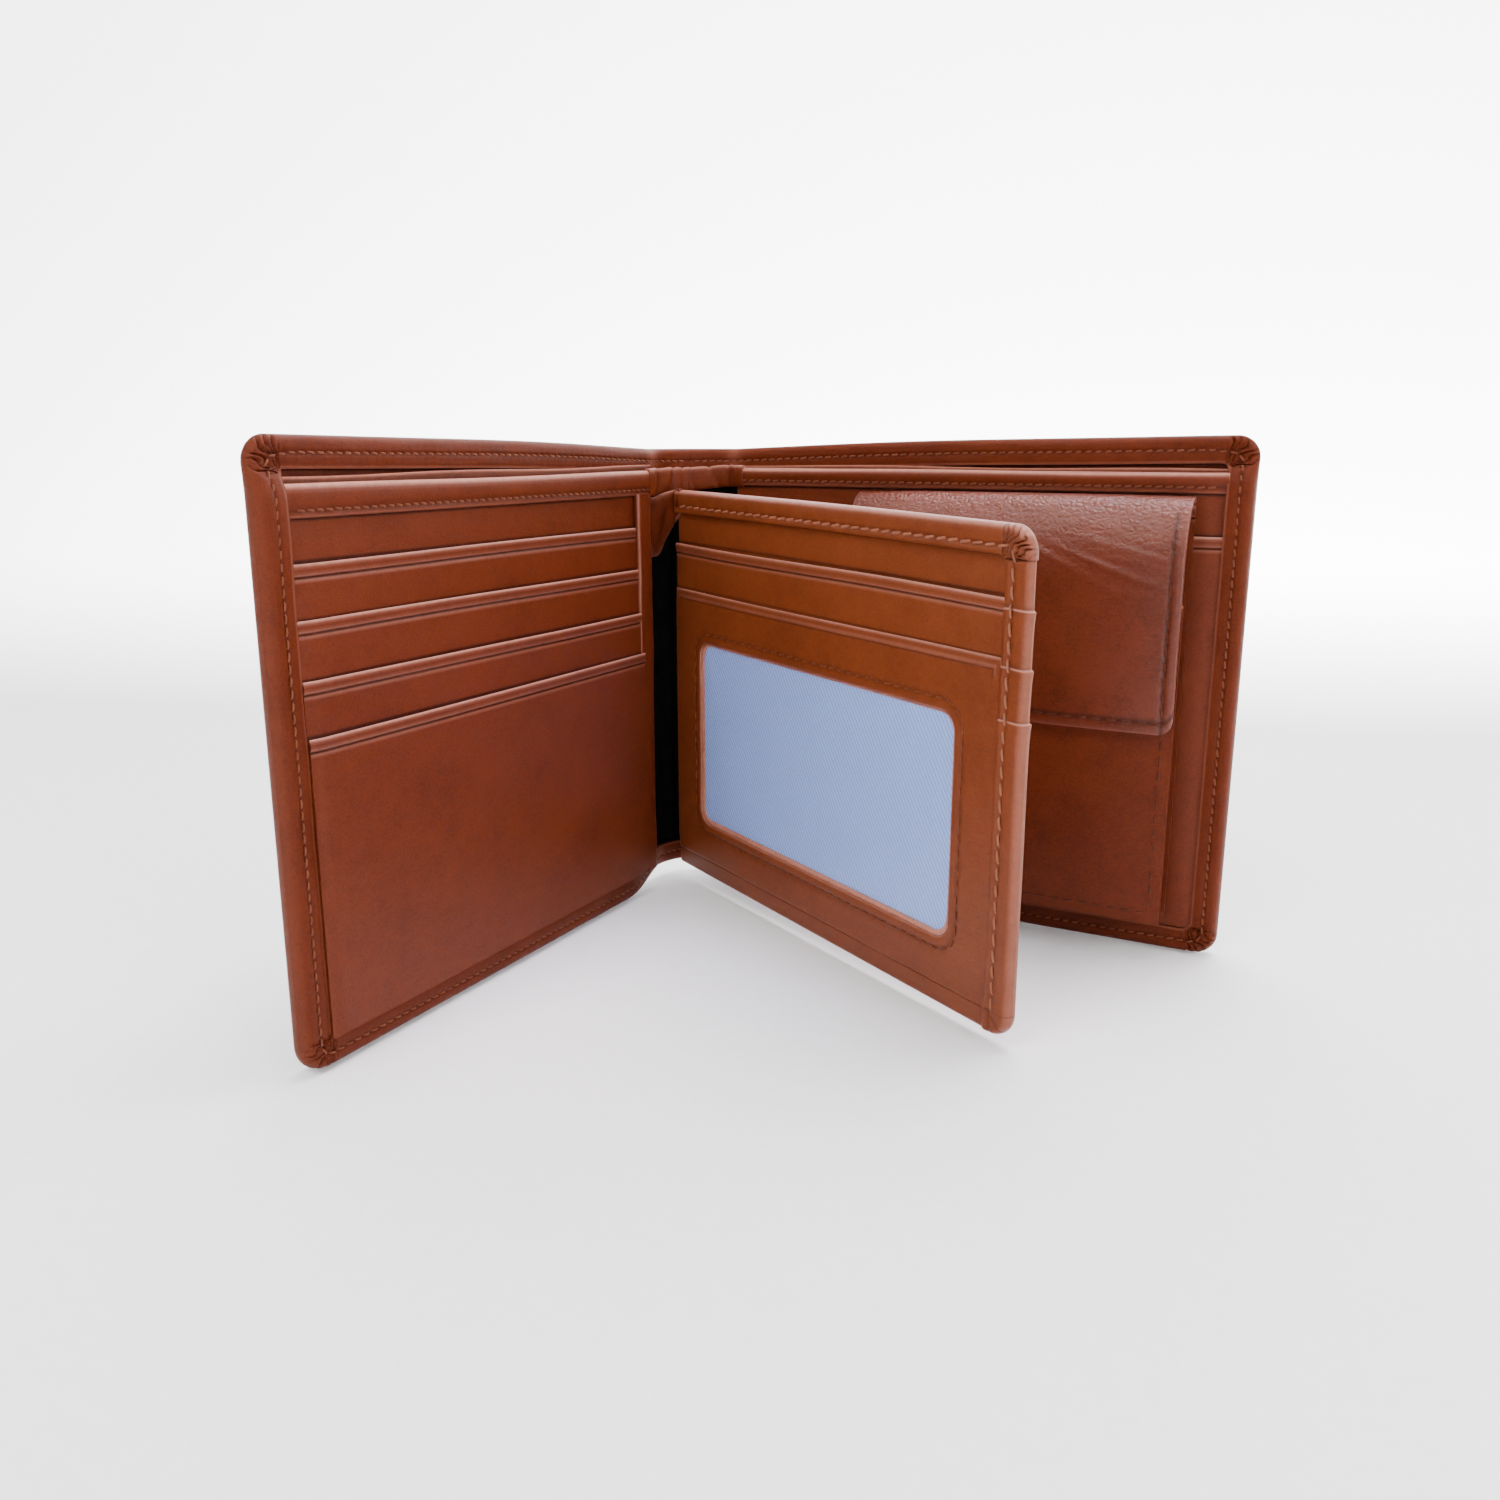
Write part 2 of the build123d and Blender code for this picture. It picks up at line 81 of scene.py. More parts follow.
def top_of(node):
    return node_box(node)[1][2]


def bottom_of(node):
    return node_box(node)[0][2]


# Driving dimensions, from the frame -------------------------------------------------------------
RIGHT_FOLD, LEFT_FOLD = joint_spot("spine_fold"), joint_spot("left_fold")
LEAF_SWING, LEAF_TURN = joint_spot("leaf_swing"), joint_spot("leaf_turn")
cover_high = node_box("right_cover")[1]
HALF = cover_high[0] - RIGHT_FOLD[0]  # fold line to outer edge
HEIGHT = cover_high[2]
CENTRE = np.array([RIGHT_FOLD[0], LEFT_FOLD[1]])  # centre of the spine's quarter circle
OUTER_RADIUS = cover_high[1] - CENTRE[1]
MID_RADIUS = RIGHT_FOLD[1] - CENTRE[1]
ARC = MID_RADIUS * math.pi / 4  # spine middle to fold line, along the skin
LENGTH = ARC + HALF  # spine middle to outer edge
SPINE_BOTTOM, SPINE_TOP = bottom_of("spine_cover"), top_of("spine_cover")
BORDER = 4.8  # width of the cover's turned edge
EASE = 16.0  # the lower outline eases down to the spine over this length
leaf_low, leaf_high = node_box("leaf_core")
LEAF_LENGTH = 100.2
LEAF_START = 1.1  # turning axis to the leaf's inner edge
LEAF_RISE, LEAF_DROP = 1.1, 2.0  # the leaf hangs lower at its outer edge
LEAF_BOTTOM, LEAF_TOP = leaf_low[2], leaf_high[2]
leaf_run = (LEAF_TURN - LEAF_SWING)[:2]
LEAF_ALONG = leaf_run / np.linalg.norm(leaf_run)
LEAF_FRONT = np.array([LEAF_ALONG[1], -LEAF_ALONG[0]])
PITCH = 2.7  # stitch to stitch on the leaf and the coin pouch
BORDER_PITCH = 1.8  # closer on borders and hems
BORDER_ROW = dict(pitch=BORDER_PITCH, length=1.4, radius=0.18, slant=0.14)


def smooth(t):
    t = np.clip(t, 0, 1)
    return t * t * (3 - 2 * t)


def bump_at(t, width):
    return np.exp(-((t / width) ** 2))


def squared(c, power):
    """Squares off a sine: a circle becomes a rounded box."""
    return np.sign(c) * np.abs(c) ** power


def round_off(d, radius):
    """0 at an edge, rising along a quarter circle to 1 at radius from it."""
    return np.sqrt(np.clip(1 - (1 - np.clip(d / radius, 0, 1)) ** 2, 0, 1))


def within(d, width):
    """1 closer to an edge than width, 0 beyond, with a short step between."""
    return smooth((width - d) / 0.1)


def wave_of(along, pitch):
    return np.cos(2 * math.pi * along / pitch)


# Placing flat shapes ----------------------------------------------------------------------------
def place(s, z, v):
    """Flat strip to the standing V: quarter-circle spine, straight halves."""
    s, z, v = np.broadcast_arrays(np.asarray(s, float), z, v)
    run = np.abs(s) - ARC
    turn = np.clip(-run, 0, None) / MID_RADIUS
    radius = OUTER_RADIUS - v
    across = np.clip(run, 0, None) - radius * np.sin(turn)
    out = radius * np.cos(turn)
    right = s >= 0
    x = CENTRE[0] + np.where(right, across, -out)
    y = CENTRE[1] + np.where(right, out, -across)
    return np.stack([x, y, z], -1)


def place_leaf(along, z, w):
    """Flat leaf to its place in the V."""
    along, z, w = np.broadcast_arrays(np.asarray(along, float), z, w)
    z = z + LEAF_RISE - LEAF_DROP * along / LEAF_LENGTH
    xy = LEAF_TURN[:2] + (along + LEAF_START)[..., None] * LEAF_ALONG + w[..., None] * LEAF_FRONT
    return np.concatenate([xy, z[..., None]], -1)


def ripple(s, z, scale, seed):
    """Soft irregular waves from a few sines, about -1 to 1."""
    wave = 0
    for k in range(4):
        a = seed * 1.7 + k * 2.3
        fx, fz = math.cos(a) * (1 + 0.6 * k), math.sin(a) * (1 + 0.6 * k)
        wave = wave + np.sin((s * fx + z * fz) / scale + a * 3) / (1 + 0.5 * k)
    return wave / 2.2


# Materials --------------------------------------------------------------------------------------
class Nodes:
    """A small builder for node materials that read the flat 'grain' coordinates, in mm."""

    def __init__(self, name):
        self.material = bpy.data.materials.new(name)
        self.material.use_nodes = True
        self.tree = self.material.node_tree
        self.shader = self.tree.nodes["Principled BSDF"]
        grain = self.add("ShaderNodeAttribute", attribute_name="grain")
        scale = self.add("ShaderNodeVectorMath", operation="SCALE")
        scale.inputs["Scale"].default_value = MM
        self.link(grain.outputs["Vector"], scale.inputs[0])
        self.flat = scale.outputs[0]

    def add(self, kind, inputs=(), **settings):
        node = self.tree.nodes.new(kind)
        for name, value in settings.items():
            setattr(node, name, value)
        for name, value in dict(inputs).items():
            node.inputs[name].default_value = value
        return node

    def link(self, a, b):
        self.tree.links.new(a, b)

    def to(self, output, socket):
        self.link(output, self.shader.inputs[socket])

    def attribute(self, name):
        return self.add("ShaderNodeAttribute", attribute_name=name).outputs["Fac"]

    def stretched(self, scale):
        node = self.add("ShaderNodeVectorMath", {1: scale}, operation="MULTIPLY")
        self.link(self.flat, node.inputs[0])
        return node.outputs[0]

    def noise(self, scale, detail=4.0, rough=0.55, vector=None):
        settings = {"Scale": scale, "Detail": detail, "Roughness": rough}
        node = self.add("ShaderNodeTexNoise", settings)
        self.link(vector or self.flat, node.inputs["Vector"])
        return node.outputs["Fac"]

    def cells(self, scale):
        node = self.add(
            "ShaderNodeTexVoronoi", {"Scale": scale, "Randomness": 1.0}, feature="DISTANCE_TO_EDGE"
        )
        self.link(self.flat, node.inputs["Vector"])
        return node.outputs["Distance"]

    def waves(self, direction, scale, vector, **inputs):
        node = self.add("ShaderNodeTexWave", {"Scale": scale, **inputs}, bands_direction=direction)
        self.link(vector, node.inputs["Vector"])
        return node.outputs["Fac"]

    def ramp(self, value, stops):
        node = self.add("ShaderNodeValToRGB")
        band = node.color_ramp
        while len(band.elements) < len(stops):
            band.elements.new(0.5)
        for element, (at, colour) in zip(band.elements, stops):
            element.position = at
            element.color = (*colour, 1.0)
        self.link(value, node.inputs["Fac"])
        return node.outputs["Color"]

    def mix(self, factor, a, b, blend="MIX"):
        node = self.add("ShaderNodeMix", data_type="RGBA", blend_type=blend)
        for socket, value in ((0, factor), (6, a), (7, b)):
            if isinstance(value, (int, float)):
                node.inputs[socket].default_value = value
            elif isinstance(value, tuple):
                node.inputs[socket].default_value = (*value, 1.0)
            else:
                self.link(value, node.inputs[socket])
        return node.outputs[2]

    def sum(self, *terms):
        """Weighted sum of values: (output, weight) pairs."""
        total = None
        for value, weight in terms:
            node = self.add("ShaderNodeMath", {1: weight, 2: 0.0}, operation="MULTIPLY_ADD")
            self.link(value, node.inputs[0])
            if total is not None:
                self.link(total, node.inputs[2])
            total = node.outputs[0]
        return total

    def times(self, a, b):
        node = self.add("ShaderNodeMath", operation="MULTIPLY")
        self.link(a, node.inputs[0])
        self.link(b, node.inputs[1])
        return node.outputs[0]

    def between(self, value, low, high):
        node = self.add("ShaderNodeMapRange", {"To Min": low, "To Max": high})
        self.link(value, node.inputs["Value"])
        return node.outputs[0]

    def bump(self, height, distance, strength):
        node = self.add("ShaderNodeBump", {"Strength": strength, "Distance": distance / MM})
        self.link(height, node.inputs["Height"])
        self.to(node.outputs["Normal"], "Normal")

    def set(self, **values):
        for name, value in values.items():
            self.shader.inputs[name.replace("_", " ")].default_value = value


def leather(
    name, base, deep, worn_highlight, roughness=(0.36, 0.54), grain=0.075, pebble=0.0, coat=0.03, gloss=0.15
):
    """Smooth full-grain leather: mottled colour, fine pores and wrinkles, edges paler from rubbing
    and painted highlight, painted shade.
    """
    n = Nodes(name)
    mottle, cloud, speck = n.noise(0.06, 5.0, 0.6), n.noise(0.35, 6.0, 0.65), n.noise(2.2, 3.0, 0.6)
    tone = n.sum((mottle, 0.38), (cloud, 0.24), (speck, 0.38))
    bright = tuple(min(1, c * 1.16) for c in base)
    colour = n.ramp(tone, [(0.38, deep), (0.5, base), (0.66, bright)])
    pores = n.cells(2.6)
    pore_dark = n.ramp(pores, [(0.0, (0.72,) * 3), (0.12, (1.0,) * 3)])
    colour = n.mix(0.75, colour, pore_dark, "MULTIPLY")
    # Paler edge colour: partly rubbed leather, partly painted highlight on edges and crowns.
    rub_and_highlight = n.times(n.attribute("wear"), n.between(n.noise(0.8, 4.0), 0.55, 1.15))
    colour = n.mix(rub_and_highlight, colour, worn_highlight)
    # Painted shade: the shade attribute darkens the colour in creases, grooves, pocket mouths and
    # under steps.
    colour = n.mix(n.attribute("shade"), colour, tuple(c * 0.35 for c in deep))
    n.to(colour, "Base Color")
    n.to(n.between(n.sum((cloud, 0.6), (speck, 0.4)), *roughness), "Roughness")
    wrinkles = n.noise(0.55, 5.0, 0.6, n.stretched((0.45, 1.3, 1.0)))
    heights = [(pores, 0.5), (n.noise(5.0, 3.0), 0.35), (wrinkles, 1.2)]
    if pebble:
        rough_skin = n.sum((n.cells(0.9), 1.0), (n.noise(0.9, 2.0), 0.9))
        heights.append((n.times(rough_skin, n.attribute("pebble")), pebble))
    n.bump(n.sum(*heights), grain, 0.85)
    n.set(Specular_IOR_Level=gloss, Coat_Weight=coat, Coat_Roughness=0.3)
    return n.material


def twill(name, light, dark, pitch, roughness, sheen=0.0, depth=0.05, gloss=0.45):
    """Diagonal woven lining: a rib at 60 degrees crossed by fine threads."""
    n = Nodes(name)
    ribs = n.waves(
        "DIAGONAL", 0.32 / pitch, n.stretched((1.0, 0.7, 0.0)), Distortion=0.25, Detail=1.0
    )
    threads = n.waves("X", 0.5 / pitch, n.stretched((1.0, -1.0, 0.0)))
    weave = n.sum((ribs, 0.75), (threads, 0.25))
    cloth = n.ramp(weave, [(0.2, dark), (0.75, light)])
    cloth = n.mix(n.between(n.noise(0.12, 3.0), 0.0, 0.25), cloth, tuple(c * 0.75 for c in dark))
    n.to(cloth, "Base Color")
    n.to(n.between(weave, roughness + 0.12, roughness), "Roughness")
    n.bump(n.sum((weave, 1.0), (n.noise(2.0), 0.1)), depth, 0.6)
    n.set(Sheen_Weight=sheen, Sheen_Roughness=0.4, Specular_IOR_Level=gloss)
    return n.material


def thread_material(name, light, dark):
    """Waxed thread: its plies wind round the stitch, their twist painted as light and dark diagonal
    bands.
    """
    n = Nodes(name)
    # Painted shade of the twist: the plies' waves run the colour from dark to light.
    plies = n.waves("DIAGONAL", 0.55, n.flat, Distortion=0.6)
    fuzz = n.noise(3.0, 4.0)
    tone = n.sum((plies, 0.7), (fuzz, 0.4))
    n.to(n.ramp(tone, [(0.25, dark), (0.8, light)]), "Base Color")
    n.to(n.between(fuzz, 0.5, 0.7), "Roughness")
    n.bump(tone, 0.06, 0.9)
    n.set(Specular_IOR_Level=0.2)
    return n.material


def film_material(name):
    """Clear flexible film with faint ripples and rubbed haze."""
    n = Nodes(name)
    haze = n.noise(0.25, 4.0)
    n.to(n.ramp(haze, [(0.3, (0.86, 0.92, 0.97)), (0.8, (0.95, 0.97, 1.0))]), "Base Color")
    n.to(n.between(haze, 0.12, 0.26), "Roughness")
    n.bump(n.noise(0.12, 2.0), 0.12, 0.35)
    n.set(Alpha=0.07, Specular_IOR_Level=0.6, IOR=1.45)
    return n.material


def metal_material(name):
    """Satin nickel: fine grain and handling marks."""
    n = Nodes(name)
    scuff = n.noise(1.4, 6.0, 0.7)
    n.to(n.ramp(scuff, [(0.3, (0.42, 0.4, 0.37)), (0.7, (0.66, 0.64, 0.6))]), "Base Color")
    n.to(n.between(scuff, 0.22, 0.42), "Roughness")
    n.bump(n.sum((n.noise(6.0, 2.0), 0.5), (scuff, 0.5)), 0.012, 0.6)
    n.set(Metallic=1.0)
    return n.material


def floor_material():
    n = Nodes("floor_paper")
    tooth = n.noise(0.4, 5.0)
    n.to(n.ramp(tooth, [(0.3, (0.92,) * 3), (0.7, (0.95,) * 3)]), "Base Color")
    n.to(n.between(tooth, 0.75, 0.85), "Roughness")
    return n.material


DEEP = (0.07, 0.0113, 0.0031)
# Edge colours, here and in the calls below: paler and pinkish, partly rubbed leather, partly
# painted highlight.
WORN_HIGHLIGHT = (0.34, 0.12, 0.075)
PALE_WORN_HIGHLIGHT = (0.42, 0.18, 0.13)
OUTER = leather("outer_leather", (0.087, 0.015, 0.0042), DEEP, WORN_HIGHLIGHT, coat=0.0, gloss=0.07)
INNER = leather(
    "inner_leather", (0.098, 0.0168, 0.0042), (0.08, 0.0128, 0.0032), PALE_WORN_HIGHLIGHT, gloss=0.11
)
LEAF_LEATHER = leather(
    "leaf_leather", (0.146, 0.0315, 0.0084), (0.118, 0.0245, 0.0064), (0.44, 0.19, 0.14), gloss=0.17
)
FLAP_LEATHER = leather(
    "flap_leather", (0.098, 0.0168, 0.0052), DEEP, (0.32, 0.12, 0.09),
    roughness=(0.24, 0.38), grain=0.11, pebble=3.2, coat=0.08, gloss=0.27,
)
DIVIDER = leather(
    "divider_leather", (0.085, 0.02, 0.009), (0.055, 0.011, 0.0045), WORN_HIGHLIGHT,
    roughness=(0.55, 0.7), grain=0.05, coat=0.0,
)
RAW_EDGE = leather(
    "raw_edge_leather", (0.42, 0.17, 0.12), (0.3, 0.1, 0.06), (0.62, 0.38, 0.32),
    roughness=(0.6, 0.75), grain=0.06, coat=0.0,
)
# Black lining cloth, darkened far below real black cloth: painted shade of the slit at the spine.
BLACK_SHADED = twill(
    "black_lining", (0.0035, 0.003, 0.003), (0.0012, 0.001, 0.001), 0.5, 0.85, gloss=0.08
)
SILVER = twill(
    "silver_blue_lining", (0.2, 0.37, 0.9), (0.1, 0.19, 0.5), 0.5, 0.4, sheen=0.05, depth=0.035
)
# One tan thread in copies: the paler ones are painted highlight on stitches that catch the light,
# the brown one painted shade on stitches sunk in their grooves.
THREAD = thread_material("tan_thread", (0.19, 0.047, 0.014), (0.06, 0.012, 0.0035))
LIT_THREAD = thread_material("pale_tan_thread", (0.215, 0.06, 0.023), (0.07, 0.0155, 0.0055))
SHADED_THREAD = thread_material("brown_thread", (0.1, 0.02, 0.006), (0.035, 0.007, 0.0025))
LIT_LEAF_THREAD = thread_material("pale_leaf_thread", (0.34, 0.125, 0.066), (0.13, 0.035, 0.014))
FILM = film_material("clear_film")
METAL = metal_material("satin_nickel")


# Mesh building ----------------------------------------------------------------------------------
def mesh(name, points, faces, material, grain, **marks):
    """A smooth-shaded mesh with the flat coordinates and the rubbing, painted highlight, painted
    shade and pebble marks its material reads.
    """
    data = bpy.data.meshes.new(name)
    data.from_pydata((points.reshape(-1, 3) / MM).tolist(), [], faces)
    data.validate()
    data.update()
    data.shade_smooth()
    flat = data.attributes.new("grain", "FLOAT_VECTOR", "POINT")
    flat.data.foreach_set("vector", (grain.reshape(-1, 3) / MM).astype(np.float32).ravel())
    for label in ("wear", "shade", "pebble"):
        values = marks.get(label, np.zeros(len(data.vertices)))
        field = data.attributes.new(label, "FLOAT", "POINT")
        field.data.foreach_set("value", np.asarray(values, np.float32).ravel())
    data.materials.append(material)
    obj = bpy.data.objects.new(name, data)
    bpy.context.scene.collection.objects.link(obj)
    return obj


def grid_faces(rows, columns, start=0, wrap=False, flip=False):
    faces = []
    for r in range(rows - 1):
        for c in range(columns if wrap else columns - 1):
            d = (c + 1) % columns
            here, above = start + r * columns, start + (r + 1) * columns
            quad = (here + c, here + d, above + d, above + c)
            faces.append(quad[::-1] if flip else quad)
    return faces


def slab_faces(rows, columns):
    """Two equal grids back to back, the second numbered after the first, joined round the rim."""
    count = rows * columns
    rim = [r * columns for r in range(rows)]
    rim += [(rows - 1) * columns + c for c in range(1, columns)]
    rim += [r * columns + columns - 1 for r in range(rows - 2, -1, -1)]
    rim += range(columns - 2, 0, -1)
    walls = [(a, b, b + count, a + count) for a, b in zip(rim, rim[1:] + rim[:1])]
    return grid_faces(rows, columns) + grid_faces(rows, columns, count, flip=True) + walls


def loft(name, points, material, grain, **marks):
    """A closed tube through rings of points (stations, ring, 3), capped at both ends."""
    stations, ring = points.shape[:2]
    faces = grid_faces(stations, ring, wrap=True)
    faces.append(tuple(range(ring))[::-1])
    faces.append(tuple(range((stations - 1) * ring, stations * ring)))
    obj = mesh(name, points, faces, material, grain, **marks)
    for polygon in obj.data.polygons[-2:]:
        polygon.use_smooth = False
    return obj


def soft_edges(obj, angle=50):
    """Sharp creases stay sharp, the rest is smooth."""
    bpy.context.view_layer.objects.active = obj
    for o in bpy.context.selected_objects:
        o.select_set(False)
    obj.select_set(True)
    bpy.ops.object.shade_smooth_by_angle(angle=math.radians(angle))
    return obj


def plaque(name, p_lines, q_lines, front, back, warp, put, material, **marks):
    """A closed slab over a grid of flat lines: front and back give its two faces' depths."""
    p, q = np.meshgrid(p_lines, q_lines, indexing="ij")
    p2, q2 = warp(p, q)
    f, b = front(p, q), back(p, q)
    points = np.concatenate([put(p2, q2, f).reshape(-1, 3), put(p2, q2, b).reshape(-1, 3)])
    flat = (np.stack([p2, q2, f], -1), np.stack([p2, q2 + 300, b], -1))
    grain = np.concatenate([side.reshape(-1, 3) for side in flat])
    values = {k: np.tile(np.ravel(m(p, q)), 2) for k, m in marks.items()}
    return mesh(name, points, slab_faces(*p.shape), material, grain, **values)


def folded(
    bottom, top, back, face, crease=2.0, lift=0.1, dip=0.2, lean=0.28, mouth=None, under=None
):
    """(z, depth, paleness) round a sheet whose top edge is folded over, creased below, and gapes.

    Positive paleness is rubbing and painted highlight on the fold and beside the crease; negative
    paints shade: in the crease, in the mouth of the pocket in front, and under a hem.
    """
    mid, r = (face + back) / 2, (face - back) / 2
    line = top - crease
    front = [
        (bottom, face, 0.0),
        (bottom + 0.35 * (top - bottom), face, 0.0),
        (line - 3.0, face, 0.0),
        (line - 1.0, face + 0.03, 0.0),
        (line - 0.4, face + 0.05, 0.25),
        (line - 0.22, face - 0.4 * dip, -0.6),
        (line - 0.1, face - dip, -1.0),
        (line + 0.05, face - 0.5 * dip, -0.5),
        (line + 0.2, face + 0.5 * lift, 0.3),
        (line + 0.5, face + lift, 0.1),
        (top - 0.5 * crease, face + lift, 0.0),
        (top - 0.5, face + lift, 0.15),
        (top - 0.22, face + 0.5 * lift, 0.6),
        (top - 0.06, face - 0.35 * r, 0.95),
    ]
    behind = [
        (top, mid, 0.9),
        (top - 0.12, back + 0.2 * r, 0.3),
        (top - 0.4, back, -0.6),
        (top - 2.5, back, -0.6),
        (bottom, back, 0.0),
    ]
    # Painted shade in the mouth of the pocket in front and under an overhanging hem.
    if mouth is not None:
        front += [(mouth - 0.3, face, -1.0), (mouth + 0.14, face, -0.9), (mouth + 0.45, face, 0.0)]
    if under is not None:
        front += [(under - 0.55, face, 0.0), (under - 0.15, face, -0.9), (under + 0.2, face, -1.0)]
    section = sorted(front, key=lambda point: point[0]) + behind
    return [(z, v + lean * float(smooth((z - top + 2.6) / 2.4)), w) for z, v, w in section]


def hem(bottom, top, back, face):
    """(z, depth, paleness) round a hem: rolled over a full top edge, raw lower edge pressed down,
    negative paleness painting shade.
    """
    roll, fullness = 0.9, 0.12
    mid = (face + back) / 2
    crown = top - roll
    # Painted shade under the raw lip and in the stitch groove, a painted highlight on the lip.
    pressed = [(0, -0.4, -0.5), (0.06, -0.12, 0.0), (0.22, 0.02, 0.2), (0.5, 0.03, 0.0),
               (0.8, -0.04, -0.35), (1.1, -0.1, -0.6), (1.4, -0.02, -0.25), (2.1, 0.14, 0.0)]
    section = [(bottom + z, face + v, w) for z, v, w in pressed]
    section.append((crown - 0.6, face + 0.16, 0.0))
    rise = np.linspace(0, math.pi, 9)
    # The roll's top is paler: rubbing and painted highlight.
    rubbed = np.clip(1.1 * np.sin(rise + 0.5) ** 3, 0, 1)
    front = mid + (face + fullness - mid) * np.cos(rise)
    section += zip(crown + roll * np.sin(rise), front, rubbed)
    return section + [(bottom, back, 0.0)]


def band(name, span, outline, material, put=place, sag=None, bow=None, **extra):
    """A sheet swept along the strip: outline is its closed (height, depth, paleness) section,
    paleness negative where shade is painted.

    sag(s) moves its top edge down and bow(s, z) its depth; extra marks replace the section's.
    """
    count = max(3, int(abs(span[1] - span[0]) / 0.8) + 1)
    s = np.linspace(span[0], span[1], count)[:, None]
    z0, v0, wear = (np.array(c, float)[None, :] for c in zip(*outline))
    z, v = z0 + 0 * s, v0 + 0 * s
    if sag is not None:
        share = (z0 - z0.min()) / (z0.max() - z0.min())
        z = z - sag(s) * smooth(share * 1.6 - 0.6)
    if bow is not None:
        v = v + bow(s, z)
    s = s + 0 * z
    # Positive paleness is rubbing and painted highlight, negative paleness painted shade.
    marks = {"wear": np.clip(wear, 0, 1) + 0 * s, "shade": np.clip(-wear, 0, 1) + 0 * s}
    marks.update({k: f(s, z) for k, f in extra.items()})
    return soft_edges(loft(name, put(s, z, v), material, np.stack([s, z, v], -1), **marks))


def seam(name, path, height, put=place, up=1, pitch=PITCH, length=1.95, radius=0.2,
         material=THREAD, slant=0.07):
    """Separate stitches along a flat path: slim rounded threads that dip into the leather."""
    path = np.array(path, float)
    legs = np.linalg.norm(np.diff(path, axis=0), axis=1)
    reach = np.concatenate([[0], np.cumsum(legs)])
    spot = lambda at: np.array([np.interp(at, reach, path[:, i]) for i in (0, 1)])
    count = max(1, int(round(reach[-1] / pitch)))
    along = np.array([-1, -0.9, -0.62, 0, 0.62, 0.9, 1]) * length / 2
    girth = radius * np.array([0.35, 0.72, 0.95, 1.0, 0.95, 0.72, 0.35])[:, None]
    lift = np.array([-0.24, -0.1, 0.03, 0.07, 0.03, -0.1, -0.24])[:, None]
    rings, sides = len(along), 6
    ring = np.linspace(0, 2 * math.pi, sides, endpoint=False)
    points, grain, faces = [], [], []
    for k in range(count):
        at = (k + 0.5) * reach[-1] / count
        c = spot(at)
        t = spot(at + 0.9) - spot(at - 0.9)
        t = t / max(np.linalg.norm(t), 1e-9)
        turn = slant + rng.normal(0, 0.03)
        cos, sin = math.cos(turn), math.sin(turn)
        t = np.array([t[0] * cos - t[1] * sin, t[0] * sin + t[1] * cos])
        across = np.array([-t[1], t[0]])
        level = height(c[0], c[1]) if callable(height) else height
        size = 1 + rng.normal(0, 0.05)
        pq = c + along[:, None, None] * t + (girth * np.cos(ring))[..., None] * across * size
        depth = level + up * (lift + girth * np.sin(ring) * 0.9)
        points.append(put(pq[..., 0], pq[..., 1], depth).reshape(-1, 3))
        flat = [along[:, None] * 3 + 0 * depth, 0 * depth + ring * 0.8, depth * 0 + k]
        grain.append(np.stack(flat, -1).reshape(-1, 3))
        start, end = k * rings * sides, (k + 1) * rings * sides
        faces += grid_faces(rings, sides, start, wrap=True)
        faces += [tuple(range(start, start + sides))[::-1], tuple(range(end - sides, end))]
    return mesh(name, np.concatenate(points), faces, material, np.concatenate(grain))


# Covers -----------------------------------------------------------------------------------------
CORNER = 4.0
PATCH = 8.0  # corner patch over which the outline is rounded
SIDE_DEPTH, TOP_DEPTH, PLAIN = 4.15, 2.2, 1.05
ROLL = 1.25
STITCH_INSET = 2.5


def edge_lines(width):
    """Distances from an edge, close together where its border rolls, is stitched or steps."""
    fine = [0, 0.07, 0.18, 0.32, 2.4, 2.5, 2.6, 4.68, 4.76, 4.84, 4.92]
    even = [d for d in np.arange(0.5, 6.4, 0.22) if min(abs(d - f) for f in fine) > 0.05]
    return np.array(sorted(fine + even)) * (width / BORDER)


def round_corner(a, b):
    """Maps distances a, b from two edges so that the corner between them is rounded."""
    p, q = (PATCH - a) / PATCH, (PATCH - b) / PATCH
    inside = (p > 0) & (q > 0)
    m = np.maximum(p, q)
    t = np.where(inside, np.minimum(p, q) / np.maximum(m, 1e-9), 0)
    k = CORNER / PATCH
    straight = 1 - k
    reach = t * (straight + k * math.pi / 4)
    angle = np.clip((reach - straight) / k, 0, None)
    near = np.where(angle > 0, straight + k * np.sin(angle), reach)
    far = 1 - k * (1 - np.cos(angle))
    p2 = m * np.where(p >= q, far, near)
    q2 = m * np.where(p >= q, near, far)
    return np.where(inside, PATCH * (1 - p2), a), np.where(inside, PATCH * (1 - q2), b)


def rounded_sheet(a, z, bottom, top):
    """Distance from the outer edge and height, moved so that both outer corners are rounded."""
    low, high = z - bottom, top - z
    (a1, low1), (a2, high1) = round_corner(a, low), round_corner(a, high)
    a_new = np.where(low < PATCH, a1, np.where(high < PATCH, a2, a))
    return a_new, np.where(low < PATCH, bottom + low1, np.where(high < PATCH, top - high1, z))


def pleats(a, b, width, count=7):
    """Gathers that fan out from a border's inner corner: 0 on a fold, -1 in a crease."""
    x, y = width + 0.5 - a, width + 0.5 - b
    turn = np.arctan2(y, x) / (math.pi / 2)
    reach = np.hypot(x, y)
    wander = 0.05 * np.sin(reach * 1.7 + turn * 9.0)
    fold = np.abs(np.sin((turn + wander) * count * math.pi)) ** 0.55
    fade = smooth((reach - 0.5) / 1.0) * smooth((0.55 - np.abs(turn - 0.5)) / 0.22)
    inside = (a < PATCH) & (b < PATCH) & (x > 0) & (y > 0)
    return np.where(inside, (fold - 1) * fade, 0)


